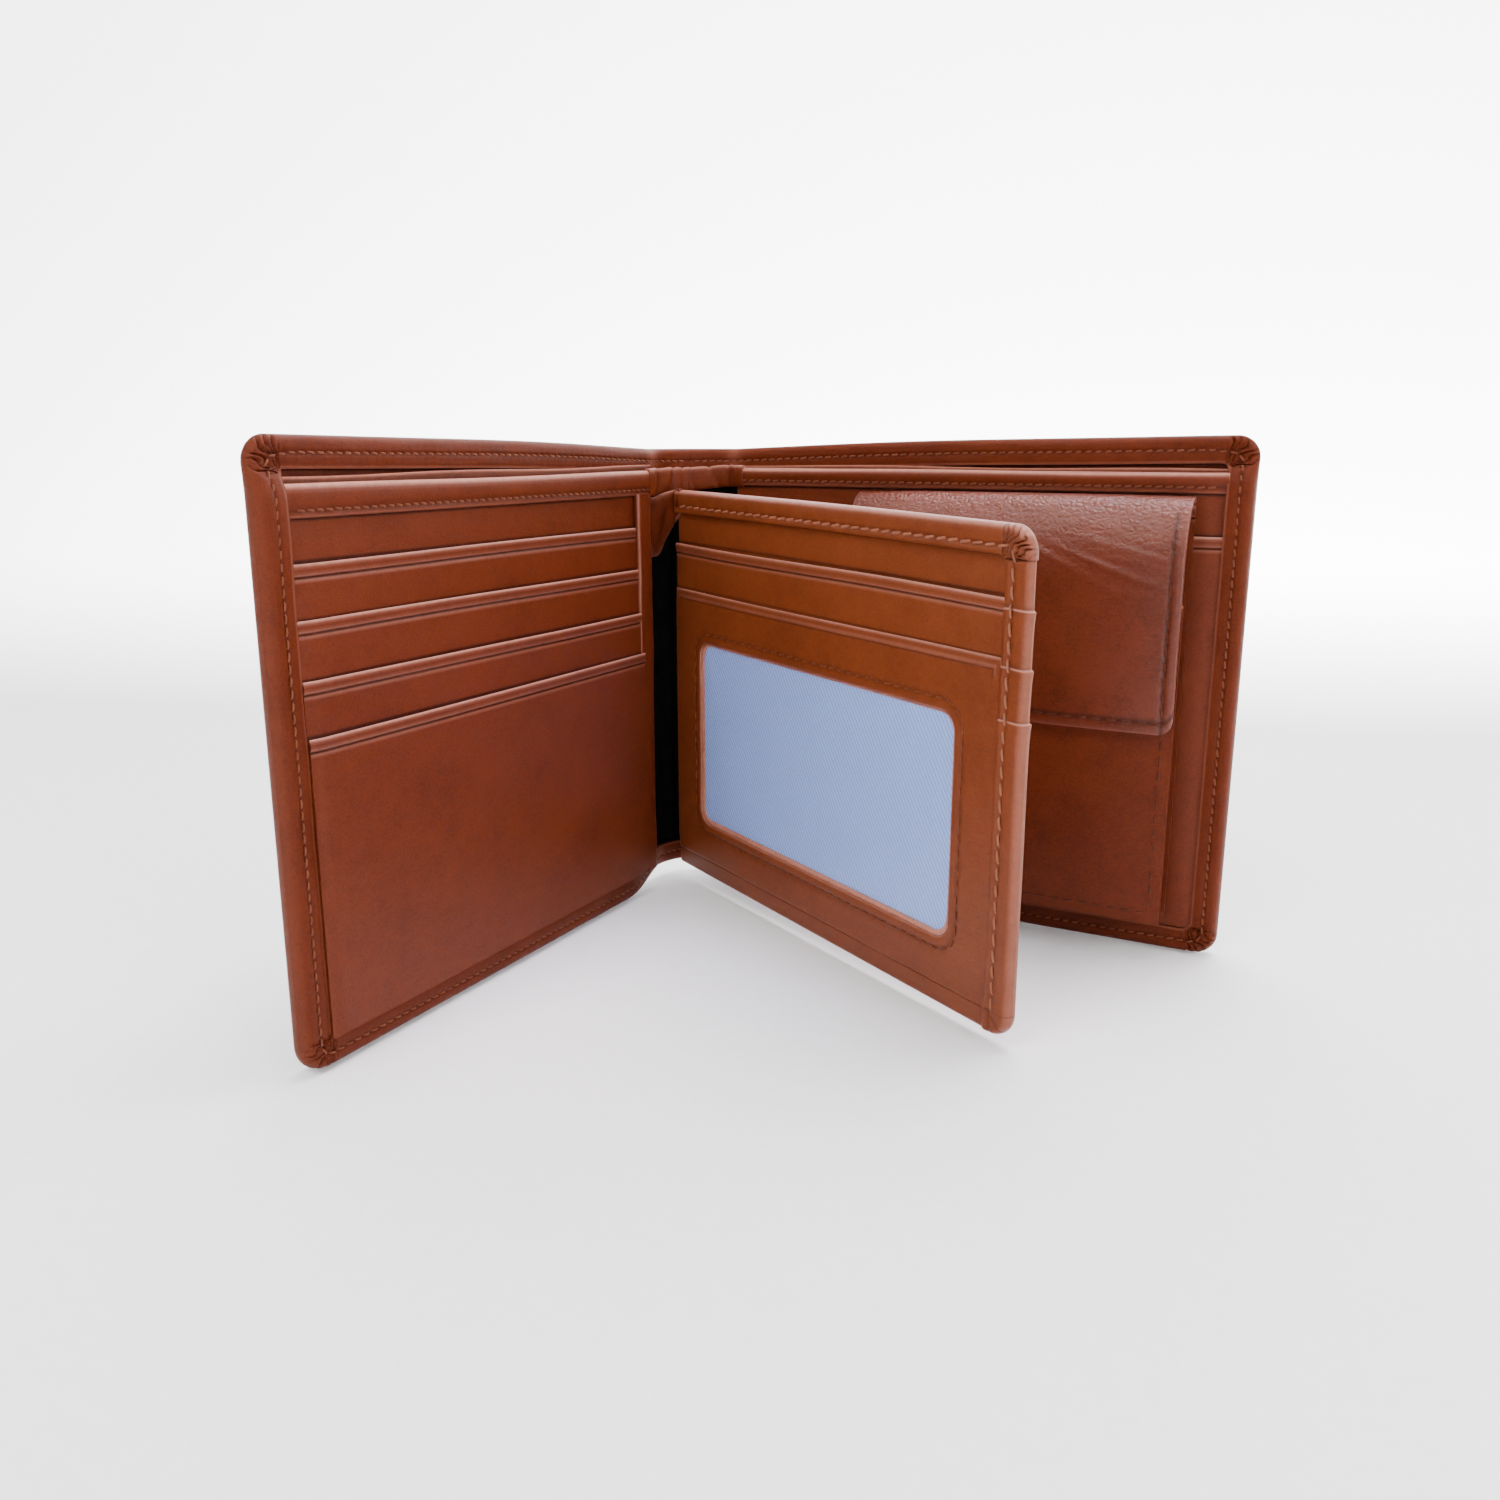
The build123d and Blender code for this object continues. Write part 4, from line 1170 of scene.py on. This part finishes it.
def window_frame():
    """The front pocket's face: a creased top edge and a rounded, stitched window opening."""
    count, stitches = 560, 86
    hole, out = window_outline(0, WINDOW_RADIUS, count)
    # rings from the opening to the rim, closer where the edges roll, are stitched or creased
    shares = np.array([0, 0.006, 0.02, 0.045, 0.09, 0.14, 0.18, 0.21, 0.25, 0.32, 0.42, 0.54, 0.64,
                       0.71, 0.76, 0.79, 0.805, 0.82, 0.84, 0.87, 0.91, 0.95, 0.98, 0.992, 1.0])
    rings = hole + (frame_rim(hole, out) - hole) * shares[:, None, None]
    x, z = rings[..., 0], rings[..., 1]
    from_hole = np.linalg.norm(rings - hole, axis=-1)
    below_top, above = FRAME_TOP - z, z - FRAME_BOTTOM
    sewing = bump_at(from_hole - 2.0, 0.3)
    wave = 0.5 + 0.5 * np.cos(np.arange(count)[None, :] * 2 * math.pi * stitches / count)
    face = FRAME_FACE - 0.34 * (1 - round_off(from_hole, 0.5)) - sewing * (0.1 + 0.09 * wave)
    face = face + 0.07 * bump_at(from_hole - 1.1, 0.5) - 0.17 * bump_at(below_top - 2.0, 0.16)
    face = face + 0.11 * bump_at(below_top - 1.1, 0.6) - 0.36 * (1 - round_off(below_top, 0.35))
    face = face - 0.25 * smooth((0.5 - above) / 0.5) + 0.05 * ripple(x, z, 5.0, 15)
    # Paler opening rim and top edge: rubbing and painted highlight.
    wear = 0.55 * bump_at(from_hole, 0.25) + 0.8 * bump_at(below_top, 0.3)
    wear = wear + 0.25 * bump_at(below_top - 1.5, 0.3)
    z = z - (0.12 + 0.14 * np.sin(x / 19.0)) * smooth((z - 56) / 8)
    # Painted shade in the stitch groove, in the top crease and along the lower edge.
    shade = 0.5 * sewing + 0.7 * bump_at(below_top - 2.05, 0.12)
    shade = np.clip(shade + 0.35 * smooth((0.4 - (z - FRAME_BOTTOM)) / 0.4), 0, 1)
    points = np.concatenate([place_leaf(x, z, f).reshape(-1, 3) for f in (face, FRAME_BACK)])
    rows, n = len(shares), x.size
    faces = grid_faces(rows, count, wrap=True, flip=True) + grid_faces(rows, count, n, wrap=True)
    for start, order in ((0, 1), (n - count, -1)):
        for k in range(count):
            a, b = start + k, start + (k + 1) % count
            faces.append((a, b, b + n, a + n)[::order])
    grain = np.tile(np.stack([x, z, face], -1).reshape(-1, 3), (2, 1))
    plain = np.zeros(n)
    marks = {k: np.concatenate([m.ravel(), plain]) for k, m in (("wear", wear), ("shade", shade))}
    obj = mesh("window_frame_leather", points, faces, LEAF_LEATHER, grain, **marks)
    on_leaf(soft_edges(obj, 60), "inner_leather", "window_frame")


def window_raw_edge():
    """The cut edge of the lining leather that shows inside the opening, low and near the spine."""
    count, sides = 360, 10
    inner, outward = window_outline(-0.1, WINDOW_RADIUS, count)
    ring = np.linspace(0, 2 * math.pi, sides, endpoint=False)
    low, left = WINDOW_Z[0] + 6 - inner[:, 1], WINDOW_X[0] + 4 - inner[:, 0]
    width = 0.12 + 0.4 * np.clip(smooth(low / 6) + smooth(left / 4), 0, 1)
    offset = (np.cos(ring)[None, :] - 0.8) * width[:, None]
    path = inner[:, None, :] + outward[:, None, :] * offset[..., None]
    depth = FRAME_BACK + 0.13 * np.sin(ring)[None, :] + 0 * offset
    faces = grid_faces(count, sides, wrap=True)
    last = (count - 1) * sides
    faces += [(last + c, last + (c + 1) % sides, (c + 1) % sides, c) for c in range(sides)]
    flat = np.stack([path[..., 0], path[..., 1], depth], -1)
    points = place_leaf(path[..., 0], path[..., 1], depth)
    on_leaf(mesh("window_raw_edge", points, faces, RAW_EDGE, flat), "inner_leather")


window_frame()
window_raw_edge()
sewn_path, _ = window_outline(2.0, WINDOW_RADIUS + 1.2, 300)
thread = seam("window_stitch_row", np.vstack([sewn_path, sewn_path[:1]]), FRAME_FACE - 0.06,
              place_leaf, pitch=2.6, length=1.7)
on_leaf(thread, "thread", "window_stitches")


def leaf_seams():
    """The hem's stitches, turning down the outer strip."""
    top, side_x, radius = LEAF_TOP - HEM_SEAM, LEAF_LENGTH - SIDE_SEAM, 1.6
    x, z, turn = side_x - radius, top - radius, np.linspace(0, math.pi / 2, 8)
    path = [(u, top) for u in np.linspace(1.0, x, 40)]
    path += [(x + radius * math.sin(t), z + radius * math.cos(t)) for t in turn]
    path += [(side_x, h) for h in np.linspace(top - 2.5, LEAF_BOTTOM + 4.0, 40)]
    wraps_above = lambda z: sum(z < w for w in WRAPS)

    def front(x, z):
        return (HEM_FACE if z > top - 1.0 else STRIP_FACE + WRAP_STEP * wraps_above(z)) - 0.02

    def back(x, z):
        return SHEET_BACK - (0.5 if z > top - 1.4 else 0) - BACK_STEP * wraps_above(z)

    for face, level, up in (("front", front, 1), ("back", back, -1)):
        thread = seam(f"leaf_hem_stitches_{face}", path, level, place_leaf, up=up,
                      material=LIT_LEAF_THREAD, length=2.2, radius=0.24, slant=0.16)
        on_leaf(thread, "thread")


leaf_seams()
film_x = (WINDOW_X[0] - 3.0, WINDOW_X[1] + 3.0)
film_z = (film_low[2], film_high[2])


def window_sheet(name, depth, thickness, material, wave):
    """A thin closed cloth or film sheet behind the window, with a gentle unevenness."""
    front = lambda x, z: depth + thickness + wave * ripple(x, z, 7.0, 21)
    back = lambda x, z: depth + wave * ripple(x, z, 7.0, 21)
    return plaque(name, np.linspace(*film_x, 100), np.linspace(*film_z, 60), front, back,
                  lambda x, z: (x, z), place_leaf, material)


lining = window_sheet("window_lining_cloth", 0.46, 0.08, SILVER, 0.02)
on_leaf(lining, "window_lining", "window_lining")
film = window_sheet("window_film_sheet", 0.6, 0.07, FILM, 0.025)
on_leaf(film, "window_film", "window_film")


# Leaf hinge -------------------------------------------------------------------------------------
def blend_over(obj, bodies, before, after):
    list(bodies)
    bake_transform(obj)


def hinge_cloth():
    """Black fabric from the spine lining to the leaf's edge, in two parts."""
    swing, turn = LEAF_SWING[:2], LEAF_TURN[:2]
    root = place(-ARC + 14.6, 50.0, 1.4)[:2]
    knots = np.array([root, swing, turn, turn + LEAF_ALONG * (LEAF_START + 0.6)])
    lengths = np.concatenate([[0], np.cumsum(np.linalg.norm(np.diff(knots, axis=0), axis=1))])
    z = np.linspace(bottom_of("leaf_hinge_strip"), top_of("leaf_hinge_strip"), 50)[None, :]
    middle = (lengths[1] + lengths[2]) / 2
    half = 0.22
    for part, span, bodies, axis, nodes in (
        ("inner", (0.0, middle), ("spine", "leaf_hinge"), swing,
         ("leaf_hinge_root", "leaf_hinge_strip")),
        ("outer", (middle, lengths[-1]), ("leaf_hinge", "leaf"), turn, ("leaf_hinge_fold",)),
    ):
        at = np.linspace(*span, 14)
        line = np.stack([np.interp(at, lengths, knots[:, i]) for i in (0, 1)], -1)
        faces_xyz = []
        for offset in (half, -half):
            lean = offset + 0.1 * np.sin(z[..., None] / 6.0)
            xy = line[:, None, :] + lean * LEAF_FRONT
            faces_xyz.append(np.concatenate([xy, z[..., None] + 0 * xy[..., :1]], -1))
        points = np.concatenate([f.reshape(-1, 3) for f in faces_xyz])
        flat = [np.tile(np.repeat(at, z.size), 2), points[:, 2], 0 * points[:, 2]]
        name = f"leaf_hinge_cloth_{part}"
        obj = mesh(name, points, slab_faces(len(at), z.size), BLACK_SHADED, np.stack(flat, -1))
        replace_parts(obj, *nodes)
        blend_over(obj, bodies, axis - LEAF_ALONG, axis + LEAF_ALONG)


hinge_cloth()


def web_line():
    """The web's run in plan, from under the leaf's hem to the strip beside the spine."""
    knots = [place_leaf(1.2, 0, 1.2), place_leaf(-1.7, 0, 0.6)]
    knots += [place(-(ARC + u), 0, v) for u, v in ((-0.4, 4.2), (2.5, 4.6), (5.2, 4.45))]
    at, fine = np.linspace(0, 1, len(knots)), np.linspace(0, 1, 81)
    softly = lambda line: np.convolve(np.pad(line, 5, "edge"), np.ones(11) / 11, "valid")
    return fine, [softly(np.interp(fine, at, [k[i] for k in knots])) for i in (0, 1)]


def leaf_web():
    """The leather gusset that ties the leaf's top inner corner to the strip beside the spine."""
    fine, line = web_line()
    swing, turn, fold = LEAF_SWING[:2], LEAF_TURN[:2], LEFT_FOLD[:2]
    upward = np.array([0.0, 1.0])
    ring = np.linspace(0, 2 * math.pi, 40, endpoint=False)[None, :]
    c, d = np.cos(ring), np.sin(ring)
    rise = 0.5 + 0.5 * squared(c, 0.6)
    for part, span, bodies, before, after in (
        ("outer", (0.0, 0.34), ("leaf", "leaf_hinge"), turn + LEAF_ALONG, turn - LEAF_ALONG),
        ("middle", (0.34, 0.52), ("leaf_hinge", "spine"), swing + LEAF_ALONG, swing - LEAF_ALONG),
        ("inner", (0.52, 1.0), ("spine", "left_half"), fold + upward, fold - 3 * upward),
    ):
        t = np.linspace(*span, 26)[:, None]
        top, low = 84.6 - 1.6 * smooth(t * 1.1), 79.6 - 8.6 * smooth(t * 1.25)
        z = low + (top - low) * rise
        x, y = (np.interp(t[:, 0], fine, k)[:, None] for k in line)
        run = np.gradient(np.concatenate([x, y], 1), axis=0)
        run /= np.linalg.norm(run, axis=1)[:, None]
        thick = 0.4 * squared(d, 0.5) + 0.2 * np.sin(rise * 8.0 + t * 9) * (d != 0)
        points = np.stack([x + thick * run[:, 1:2], y - thick * run[:, 0:1], z], -1)
        # Paler top and bottom edges: rubbing and painted highlight; painted shade over the web,
        # darker towards the spine.
        wear = 0.4 * bump_at(rise, 0.08) + 0.4 * bump_at(rise - 1, 0.06) + 0 * t
        web_shade = 0.25 + 0.35 * smooth((t - 0.3) / 0.3) + 0 * rise
        flat = np.stack([12 * t + 0 * z, z, thick], -1)
        obj = loft(f"leaf_web_{part}", points, INNER, flat, wear=wear, shade=web_shade)
        soft_edges(obj)
        blend_over(obj, bodies, before, after)


leaf_web()


# Coin pouch -------------------------------------------------------------------------------------
pouch_low, pouch_high = node_box("pouch_front")
POUCH_U = (pouch_low[0] - RIGHT_FOLD[0], pouch_high[0] - RIGHT_FOLD[0])
POUCH_Z = (pouch_low[2], pouch_high[2])
POUCH_DEPTHS = (4.5, 9.4)  # back and front of its walls
flap_low, flap_high = node_box("coin_flap")
FLAP_BOTTOM, FLAP_TOP = flap_low[2], flap_high[2]
FLAP_FACE = cover_high[1] - flap_low[1]
CUT_START, CUT_END = 61.9, 64.0  # where the slanted edge starts in height, and ends in length
SEW_INSET = 2.0
snap_middle = sum(node_box("snap_cap")) / 2
SNAP_U, SNAP_Z = snap_middle[0] - RIGHT_FOLD[0], snap_middle[2]


def right_strip(u, z, v):
    return place(ARC + u, z, v)


def ride_right(obj, body, node):
    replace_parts(obj, node)
    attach(obj, body)


def pouch_wall(name, points, flat, edge, node):
    """A wall stretched between the pouch's back and its front."""
    obj = soft_edges(loft(name, points, INNER, flat))
    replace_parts(obj, node)
    half_point(1, edge, 4.6)
    half_point(1, edge, 9.3)
    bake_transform(obj)


def side_wall(part, edge, inward):
    """A folded side wall of the pouch."""
    back, front = POUCH_DEPTHS
    depths = np.linspace(back, front, 15)
    fold = edge + inward * (0.5 + 2.6 * np.sin((depths - back) / (front - back) * math.pi) ** 0.8)
    u = np.concatenate([fold, fold[::-1] + inward * 0.35])[None, :]
    v = np.concatenate([depths, depths[::-1]])[None, :]
    z = np.linspace(POUCH_Z[0] + 0.5, POUCH_Z[1] - 2.2, 60)[:, None]
    u = u + 0.25 * ripple(v * 4, z, 4.0, 33) * np.sin(math.pi * (v - back) / (front - back))
    z, v = z + 0 * u, v + 0 * u
    flat = np.stack([v * 2, z, u], -1)
    pouch_wall(f"pouch_side_wall_{part}", right_strip(u, z, v), flat, edge, f"pouch_gusset_{part}")


def bottom_wall():
    back, front = POUCH_DEPTHS
    u = np.linspace(POUCH_U[0] + 0.6, POUCH_U[1] - 0.6, 70)[:, None]
    depths = np.linspace(back, front, 12)
    v = np.concatenate([depths, depths[::-1]])[None, :] + 0 * u
    thick = np.repeat([0.0, 0.4], len(depths))[None, :]
    z = POUCH_Z[0] + 0.3 + 0.9 * np.sin((v - back) / (front - back) * math.pi) + thick
    u = u + 0 * v
    flat = np.stack([u, v, z], -1)
    pouch_wall("pouch_bottom_wall", right_strip(u, z, v), flat, 60, "pouch_gusset_bottom")


def pouch():
    """The pouch's back and front sheets, the front's stitches, and its walls."""
    back, face = depth_range("pouch_back", 1)
    sheet = band("pouch_back_sheet", POUCH_U, folded(POUCH_Z[0], 83.0, back + 0.1, face), INNER,
                 put=right_strip, bow=lambda s, z: right_bow(s + ARC, z))
    ride_right(sheet, "right_panel", "pouch_back")
    back, face = depth_range("pouch_front", 1)
    swell = lambda u, z: 0.2 * ripple(u, z, 8.0, 31) * smooth((z - 12) / 30) - 0.15
    sheet = band("pouch_front_sheet", POUCH_U, folded(*POUCH_Z, back, face), INNER,
                 put=right_strip, bow=swell, shade=lambda u, z: 0 * u)
    ride_right(sheet, "pouch_front", "pouch_front")
    end = POUCH_U[1] - SEW_INSET
    path = [(u, POUCH_Z[0] + 2.0) for u in np.linspace(POUCH_U[0] + 2, end - 0.8, 30)]
    path += [(end, z) for z in np.linspace(POUCH_Z[0] + 3.0, POUCH_Z[1] - 2.5, 30)]
    row = seam("pouch_front_stitch_row", path, lambda u, z: face + float(swell(u, z)), right_strip,
               material=SHADED_THREAD)
    ride_right(row, "pouch_front", "pouch_stitches")
    side_wall("inner", POUCH_U[0] + 0.4, 1)
    side_wall("outer", POUCH_U[1] - 0.4, -1)
    bottom_wall()


pouch()


def flap_edge(u):
    """Height of the flap's lower edge: slanted near the spine, level, rounded at its corners."""
    slant = CUT_START + (FLAP_BOTTOM - CUT_START) * (u - POUCH_U[0]) / (CUT_END - POUCH_U[0])
    soft, r = 1.2, 2.6
    edge = FLAP_BOTTOM + soft * np.logaddexp(0, (slant - FLAP_BOTTOM) / soft)
    for end in (u - (POUCH_U[1] - r), POUCH_U[0] + r - u):
        edge = edge + (r - np.sqrt(r * r - np.clip(end, 0, r) ** 2))
    return edge


def flap_section(low):
    """Outer face, from the root over a superellipse crown, then straight down to the edge."""
    t = np.linspace(0, math.pi / 2, 48)
    root_v, root_z, drop = 4.7, FLAP_TOP - 0.35, 12.0
    crown_v = root_v + (FLAP_FACE - root_v) * np.sin(t) ** 0.82
    crown_z = root_z - drop * (1 - np.cos(t) ** 1.15)
    share = np.concatenate([np.linspace(0.02, 0.9, 44), [0.93, 0.95, 0.965, 0.98, 0.99, 1.0]])
    hang_z = root_z - drop + (low - (root_z - drop)) * share[None, :]
    z = np.concatenate([crown_z[None, :] + 0 * low, hang_z], 1)
    return z, np.concatenate([crown_v[None, :] + 0 * low, FLAP_FACE + 0 * hang_z], 1)


def drag_lines(u, z):
    """Diagonal creases from the outer end of the crown, fading down the flap."""
    lines = 0
    for u0, z0, slope, width, depth in (
        (88.0, 70.0, -0.32, 0.8, 0.2), (80.0, 72.5, -0.4, 0.6, 0.13), (70.0, 74.0, -0.5, 0.8, 0.1),
        (91.0, 67.5, -0.1, 0.5, 0.14), (84.0, 75.5, -0.25, 0.6, 0.12),
    ):
        offset = z - (z0 + slope * (u - u0))
        crease = bump_at(offset, width) - 0.6 * bump_at(offset - 1.3 * width, width)
        lines = lines + depth * crease * bump_at(u - u0, 9.0)
    return lines


def coin_flap():
    """The pouch's flap: sewn under the hem, rolled over a puffed crown, hanging to its edge."""
    u = np.linspace(POUCH_U[0], POUCH_U[1], 190)[:, None]
    low = flap_edge(u)
    outer_z, outer_v = flap_section(low)
    thick = 1.05
    dv, dz = np.gradient(outer_v, axis=1), np.gradient(outer_z, axis=1)
    size = np.maximum(np.hypot(dv, dz), 1e-9)
    inner_v, inner_z = outer_v + dz / size * thick, outer_z - dv / size * thick

    puff = np.clip((outer_z - (FLAP_TOP - 16)) / 14, 0, 1)
    ends = smooth((u - POUCH_U[0]) / 14.0)
    across = np.clip((u - POUCH_U[0]) / (POUCH_U[1] - POUCH_U[0]), 0, 1)
    swell = 0.35 * puff * np.sin(math.pi * across) - 0.5 * (1 - ends) * puff
    over = outer_z - outer_v
    crinkle = ripple(u, over, 0.6, 41) * 0.022 + ripple(u * 0.6, over, 1.5, 43) * 0.05
    swell = swell + puff * crinkle * smooth((POUCH_U[1] - u) / 1.5)

    from_side = np.minimum(u - POUCH_U[0], POUCH_U[1] - u)
    edge_roll = 0.25 * bump_at(outer_z - low - 0.1, 0.6) + 0.2 * (1 - smooth(from_side / 0.8))
    sew = np.minimum(np.abs(from_side - SEW_INSET), np.abs(outer_z - low - SEW_INSET))
    on_flap = smooth((FLAP_TOP - 2.0 - outer_z) / 2)
    wave = wave_of(np.where(from_side < 4, outer_z, u), PITCH)
    groove = 0.15 * bump_at(sew, 0.35) * on_flap * (1 + 0.4 * wave)
    soft = 0.18 * ripple(u, outer_z, 7.0, 37) * on_flap
    inner_v = inner_v + swell * 0.6 + soft
    relief = swell + drag_lines(u, outer_z) - edge_roll - groove + soft
    grain_z = outer_z - 0.7 * outer_v - 0.7 * relief
    outer_v = outer_v + relief

    ring_v = np.concatenate([outer_v, inner_v[:, ::-1]], 1)
    ring_z = np.concatenate([outer_z + 0.4 * swell * puff, inner_z[:, ::-1]], 1)
    ring_z = np.maximum(ring_z, low)
    ring_u = u + 0 * ring_v
    outside = lambda mark: np.concatenate([mark, 0 * inner_v], 1)
    # Paler lower edge, sides and crown: rubbing and painted highlight, the crown's fading at the
    # inner end.
    wear = 0.25 * bump_at(outer_z - low, 0.3) + 0.25 * puff**1.5 * ends
    wear = outside(wear + 0.3 * (1 - smooth(from_side / 0.4)))
    # Painted shade along the stitch groove.
    shade = outside(0.85 * bump_at(sew, 0.3) * on_flap)
    flat_z = np.concatenate([grain_z, inner_z[:, ::-1] + 200], 1)
    grain = np.stack([ring_u, flat_z, ring_v * 0.2], -1)
    obj = loft("coin_flap_leather", right_strip(ring_u, ring_z, ring_v), FLAP_LEATHER, grain,
               wear=wear, shade=shade, pebble=outside(puff**0.8))
    ride_right(soft_edges(obj, 60), "coin_flap", "coin_flap")


def flap_seam():
    """The flap's stitches: down the inner side, along the lower edge, up the outer side."""
    edge = lambda u: float(flap_edge(u))
    left, right = (POUCH_U[0] + SEW_INSET, POUCH_U[1] - SEW_INSET)
    path = [(left, z) for z in np.linspace(FLAP_TOP - 9, edge(POUCH_U[0] + 3.0) + 2.4, 12)]
    path += [(x, edge(x) + 2.0) for x in np.linspace(POUCH_U[0] + 3.0, right - 0.6, 50)]
    path += [(right, z) for z in np.linspace(FLAP_BOTTOM + 2.6, FLAP_TOP - 7, 26)]
    level = lambda u, z: FLAP_FACE + 0.18 * float(ripple(u, z, 7.0, 37)) - 0.03
    thread = seam("coin_flap_stitch_row", path, level, right_strip, material=SHADED_THREAD)
    ride_right(thread, "coin_flap", "flap_stitches")


coin_flap()
flap_seam()


def turned(name, base, profile, body, node):
    """A small round metal part turned from its (radius, depth past base) profile."""
    ring = np.linspace(0, 2 * math.pi, 48, endpoint=False)
    r, v = (np.array(c)[:, None] for c in zip(*profile))
    u, z = SNAP_U + r * np.cos(ring), SNAP_Z + r * np.sin(ring)
    v = base + v + 0 * u
    obj = loft(name, right_strip(u, z, v), METAL, np.stack([u, z, v], -1))
    ride_right(soft_edges(obj, 40), body, node)


socket, stud = depth_range("snap_socket", 1), depth_range("snap_stud", 1)
socket_rise, stud_rise = socket[1] - socket[0], stud[1] - stud[0]
turned("snap_cap_dome", FLAP_FACE,
       [(0.2, -0.2), (5.0, -0.2), (5.2, 0.05), (5.15, 0.25), (4.7, 0.42), (4.3, 0.36), (3.9, 0.42),
        (2.6, 0.55), (1.2, 0.6), (0.15, 0.61)], "coin_flap", "snap_cap")
turned("snap_socket_ring", socket[0],
       [(2.35, socket_rise + 0.1), (2.35, 0.1), (2.6, 0), (3.2, 0.12), (3.9, 0), (4.4, 0.1),
        (4.5, socket_rise + 0.1)], "coin_flap", "snap_socket")
turned("snap_stud_post", stud[0],
       [(0.2, -0.1), (4.5, -0.1), (4.5, 0.12), (4.0, 0.2), (2.2, 0.22), (1.55, 0.3), (1.5, 0.45),
        (1.85, 0.6), (1.8, 0.72), (1.2, stud_rise), (0.15, stud_rise + 0.01)],
       "pouch_front", "snap_stud")


# Stage, light and camera ------------------------------------------------------------------------
def backdrop():
    """A pale sweep: floor, a wide curve and a wall all round the back."""
    reach, curve, wall = 1.2, 2.2, 1.6
    bend = np.linspace(0.1, math.pi / 2, 14)
    profile = [(r, 0.0) for r in np.linspace(0.02, reach, 12)]
    profile += [(reach + curve * math.sin(t), curve - curve * math.cos(t)) for t in bend]
    profile += [(reach + curve, curve + h) for h in np.linspace(0.3, wall, 6)]
    turn = np.linspace(0, 2 * math.pi, 72, endpoint=False)
    r, h = (np.array(c)[:, None] for c in zip(*profile))
    points = np.stack([r * np.cos(turn), r * np.sin(turn), h - 0.0003 + 0 * turn], -1) * MM
    faces = grid_faces(len(profile), len(turn), wrap=True, flip=True) + [tuple(range(len(turn)))]
    floor = mesh("floor", points, faces, floor_material(), points)


def lamp(name, at, aim, wide, power, colour):
    light = bpy.data.lights.new(name, "AREA")
    light.shape, light.size, light.energy, light.color = "DISK", wide, power, colour
    obj = bpy.data.objects.new(name, light)
    obj.location = at
    obj.rotation_euler = (Vector(aim) - Vector(at)).to_track_quat("-Z", "Y").to_euler()
    bpy.context.scene.collection.objects.link(obj)


def stage():
    backdrop()
    world = bpy.data.worlds.new("studio")
    world.use_nodes = True
    background = world.node_tree.nodes["Background"]
    background.inputs["Color"].default_value = (0.96, 0.97, 1.0, 1.0)
    background.inputs["Strength"].default_value = 0.24
    bpy.context.scene.world = world
    lamp("key", (-0.1, -0.5, 0.7), (0, 0, 0.04), 0.4, 4.6, (1.0, 0.97, 0.95))
    lamp("fill", (0.6, -0.25, 0.4), (0, 0, 0.05), 0.35, 2.6, (0.97, 0.97, 1.0))
    lamp("top", (0.05, 0.2, 0.7), (0, 0.02, 0.06), 0.5, 9.0, (1.0, 0.91, 1.0))
    lamp("wall", (0.0, 0.7, 1.3), (-0.9, 3.0, 0.5), 1.6, 420.0, (1.0, 1.0, 1.0))


def camera():
    turn, tilt = math.radians(27.9), math.radians(13.5)
    lens = bpy.data.cameras.new("camera")
    lens.lens, lens.sensor_width = 30.9, 36.0
    lens.clip_start = 0.01
    cam = bpy.data.objects.new("camera", lens)
    cam.location = (0.0874, -0.1849, 0.0941)
    level = math.cos(tilt)
    look = Vector((-math.sin(turn) * level, math.cos(turn) * level, -math.sin(tilt)))
    cam.rotation_euler = look.to_track_quat("-Z", "Y").to_euler()
    bpy.context.scene.collection.objects.link(cam)
    bpy.context.scene.camera = cam


stage()
camera()
